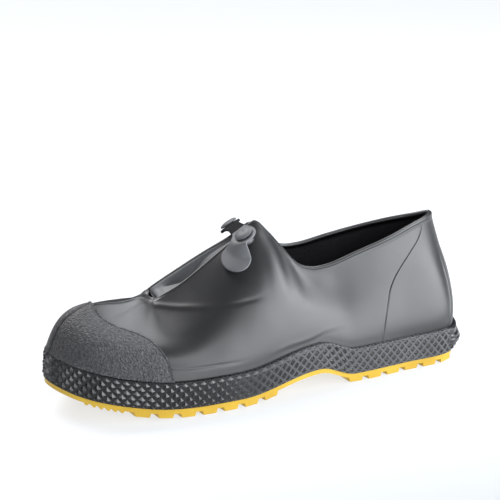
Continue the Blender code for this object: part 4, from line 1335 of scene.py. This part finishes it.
# %% A flat drawing that can bend
def flat_drawing(loops, extrude, round_edge):
    """Closed loops of points as a flat filled mesh with rounded edges."""
    curve = bpy.data.curves.new("drawing", "CURVE")
    curve.dimensions = "2D"
    curve.fill_mode = "BOTH"
    curve.extrude = extrude
    curve.bevel_depth = round_edge
    curve.bevel_resolution = 3
    for loop in loops:
        spline = curve.splines.new("POLY")
        spline.points.add(len(loop) - 1)
        spline.use_cyclic_u = True
        for point, (x, y) in zip(spline.points, loop):
            point.co = (x, y, 0, 1)
    drawn = bpy.data.objects.new("drawing", curve)
    scene.collection.objects.link(drawn)
    bpy.context.view_layer.update()
    mesh = bpy.data.meshes.new_from_object(drawn.evaluated_get(bpy.context.evaluated_depsgraph_get()))
    bpy.data.objects.remove(drawn)
    bpy.data.curves.remove(curve)
    bm = bmesh.new()
    bm.from_mesh(mesh)
    bpy.data.meshes.remove(mesh)
    bmesh.ops.remove_doubles(bm, verts=bm.verts, dist=0.005 * MM)
    return bm


def cut_strips(bm, axis, pitch):
    """Cuts the drawing across into strips, so that it can bend."""
    places = [vert.co[axis] for vert in bm.verts]
    square = Vector((axis == 0, axis == 1, 0))
    for at in np.arange(min(places) + pitch, max(places), pitch):
        whole = bm.verts[:] + bm.edges[:] + bm.faces[:]
        bmesh.ops.bisect_plane(bm, geom=whole, dist=0.005 * MM, plane_co=square * at, plane_no=square)


def circle(x, radius, count=24):
    turns = [2 * math.pi * i / count for i in range(count)]
    return [(x + radius * math.cos(t), radius * math.sin(t)) for t in turns]


print("corners of a drawn hole:", len(circle(0, 1)))

# %% Strap
STRAP_ROUND = 0.7 * MM
HOLE_RADIUS = 3.7 * MM
STRAP_CORNERS = 220
STRIP_LENGTHWAYS, STRIP_ASIDE = 1.6 * MM, 2.2 * MM
# Painted shade: the strap is dark from its inner end to this far before the outer button.
SHADE_ENDS_BEFORE_BUTTON = 7 * MM
# Round the strap laid flat, from its inner end by the toe side: mm along and across from a button.
StrapPoint = namedtuple("StrapPoint", "name button along across")
STRAP_EDGE = [
    StrapPoint("inner end", "inner", -8.4, 0.0),
    StrapPoint("inner ring", "inner", -5.9, -5.9),
    StrapPoint("inner ring", "inner", 0.0, -8.2),
    StrapPoint("inner ring", "inner", 6.0, -6.2),
    StrapPoint("middle", "outer", -12.5, -5.2),
    StrapPoint("outer ring", "outer", -6.4, -6.2),
    StrapPoint("neck", "outer", -3.4, -9.7),
    StrapPoint("tab", "outer", -3.2, -14.1),
    StrapPoint("tab", "outer", -1.3, -20.1),
    StrapPoint("tab", "outer", 2.7, -23.9),
    StrapPoint("tab tip", "outer", 8.1, -25.2),
    StrapPoint("tab", "outer", 13.3, -23.7),
    StrapPoint("tab", "outer", 17.1, -19.7),
    StrapPoint("tab", "outer", 18.4, -14.3),
    StrapPoint("tab", "outer", 16.6, -9.3),
    StrapPoint("tab", "outer", 12.4, -5.4),
    StrapPoint("neck", "outer", 8.6, -2.9),
    StrapPoint("outer ring", "outer", 8.2, 1.8),
    StrapPoint("outer ring", "outer", 5.4, 6.4),
    StrapPoint("outer ring", "outer", 0.0, 8.4),
    StrapPoint("outer ring", "outer", -6.2, 6.4),
    StrapPoint("middle", "outer", -12.5, 5.2),
    StrapPoint("inner ring", "inner", 6.0, 6.2),
    StrapPoint("inner ring", "inner", 0.0, 8.2),
    StrapPoint("inner ring", "inner", -5.9, 5.9),
]
seat_runs = {"inner": inner_seat.run, "outer": outer_seat.run}
edge_rows = [(seat_runs[p.button] + p.along * MM, p.across * MM) for p in STRAP_EDGE]
edge_points = closed_curve(edge_rows, STRAP_CORNERS)[0][:-1]
edge_way = unit(np.roll(edge_points, -1, axis=0) - np.roll(edge_points, 1, axis=0))
edge_in = np.stack([-edge_way[:, 1], edge_way[:, 0]], -1)
holes = [circle(run, HOLE_RADIUS + STRAP_ROUND) for run in seat_runs.values()]
bm = flat_drawing([edge_points + edge_in * STRAP_ROUND] + holes, STRAP_THICK / 2 - STRAP_ROUND, STRAP_ROUND)
cut_strips(bm, 0, STRIP_LENGTHWAYS)
cut_strips(bm, 1, STRIP_ASIDE)
# Faces before that point take the dark lining finish, as painted shade on the strap.
for face in bm.faces:
    face.material_index = int(face.calc_center_median().x < outer_seat.run - SHADE_ENDS_BEFORE_BUTTON)
for vert in bm.verts:
    base, off = laid(vert.co.x, vert.co.y)
    vert.co = base + off * vert.co.z
bmesh.ops.recalc_face_normals(bm, faces=bm.faces)
add_piece("button_strap", bm, [strap_vinyl, lining_and_strap_shade], "black_vinyl", "strap", sharp=50)

# %% Buttons
STEM_RADIUS = 3.2 * MM
STEM_SINK = 0.6 * MM
HEAD_RADIUS = 6.6 * MM
HEAD_THICK = 2.4 * MM
HEAD_CLEARANCE = 0.8 * MM
# Half the head's profile from its dimple outwards: share of the radius, share of the thickness down.
HEAD_PROFILE = [
    (0, 0.146), (0.12, 0.125), (0.22, 0.008), (0.32, 0), (0.60, 0.10), (0.80, 0.24),
    (0.93, 0.45), (1, 0.68), (0.99, 0.85), (0.93, 1),
]
TURNED_STEPS = 48


def add_button(name, seat, node):
    """Turns a mushroom button from half its profile and sets it on the flap."""
    foot = -(STRAP_LIFT + RING_LIFT) - STEM_SINK
    under = STRAP_THICK / 2 + HEAD_CLEARANCE
    profile = [(part * HEAD_RADIUS, under + HEAD_THICK * (1 - drop)) for part, drop in HEAD_PROFILE]
    profile += [(1.25 * STEM_RADIUS, under), (STEM_RADIUS, under - 0.4 * MM)]
    profile += [(STEM_RADIUS, foot + 0.5 * MM), (1.2 * STEM_RADIUS, foot), (0, foot)]
    bm = bmesh.new()
    verts = [bm.verts.new((radius, 0, height)) for radius, height in profile]
    edges = [bm.edges.new(pair) for pair in zip(verts, verts[1:])]
    bmesh.ops.spin(bm, geom=verts + edges, cent=(0, 0, 0), axis=(0, 0, 1), angle=2 * math.pi,
                   steps=TURNED_STEPS, use_merge=True)
    bmesh.ops.remove_doubles(bm, verts=bm.verts, dist=0.01 * MM)
    bmesh.ops.recalc_face_normals(bm, faces=bm.faces)
    turn = seat.axis.to_track_quat("Z", "Y").to_matrix().to_4x4()
    turn.translation = seat.centre
    bmesh.ops.transform(bm, matrix=turn, verts=bm.verts)
    add_piece(name, bm, [strap_vinyl], "black_vinyl", node, sharp=40)


add_button("inner_button", inner_seat, "button_inner")
add_button("outer_button", outer_seat, "button_outer")
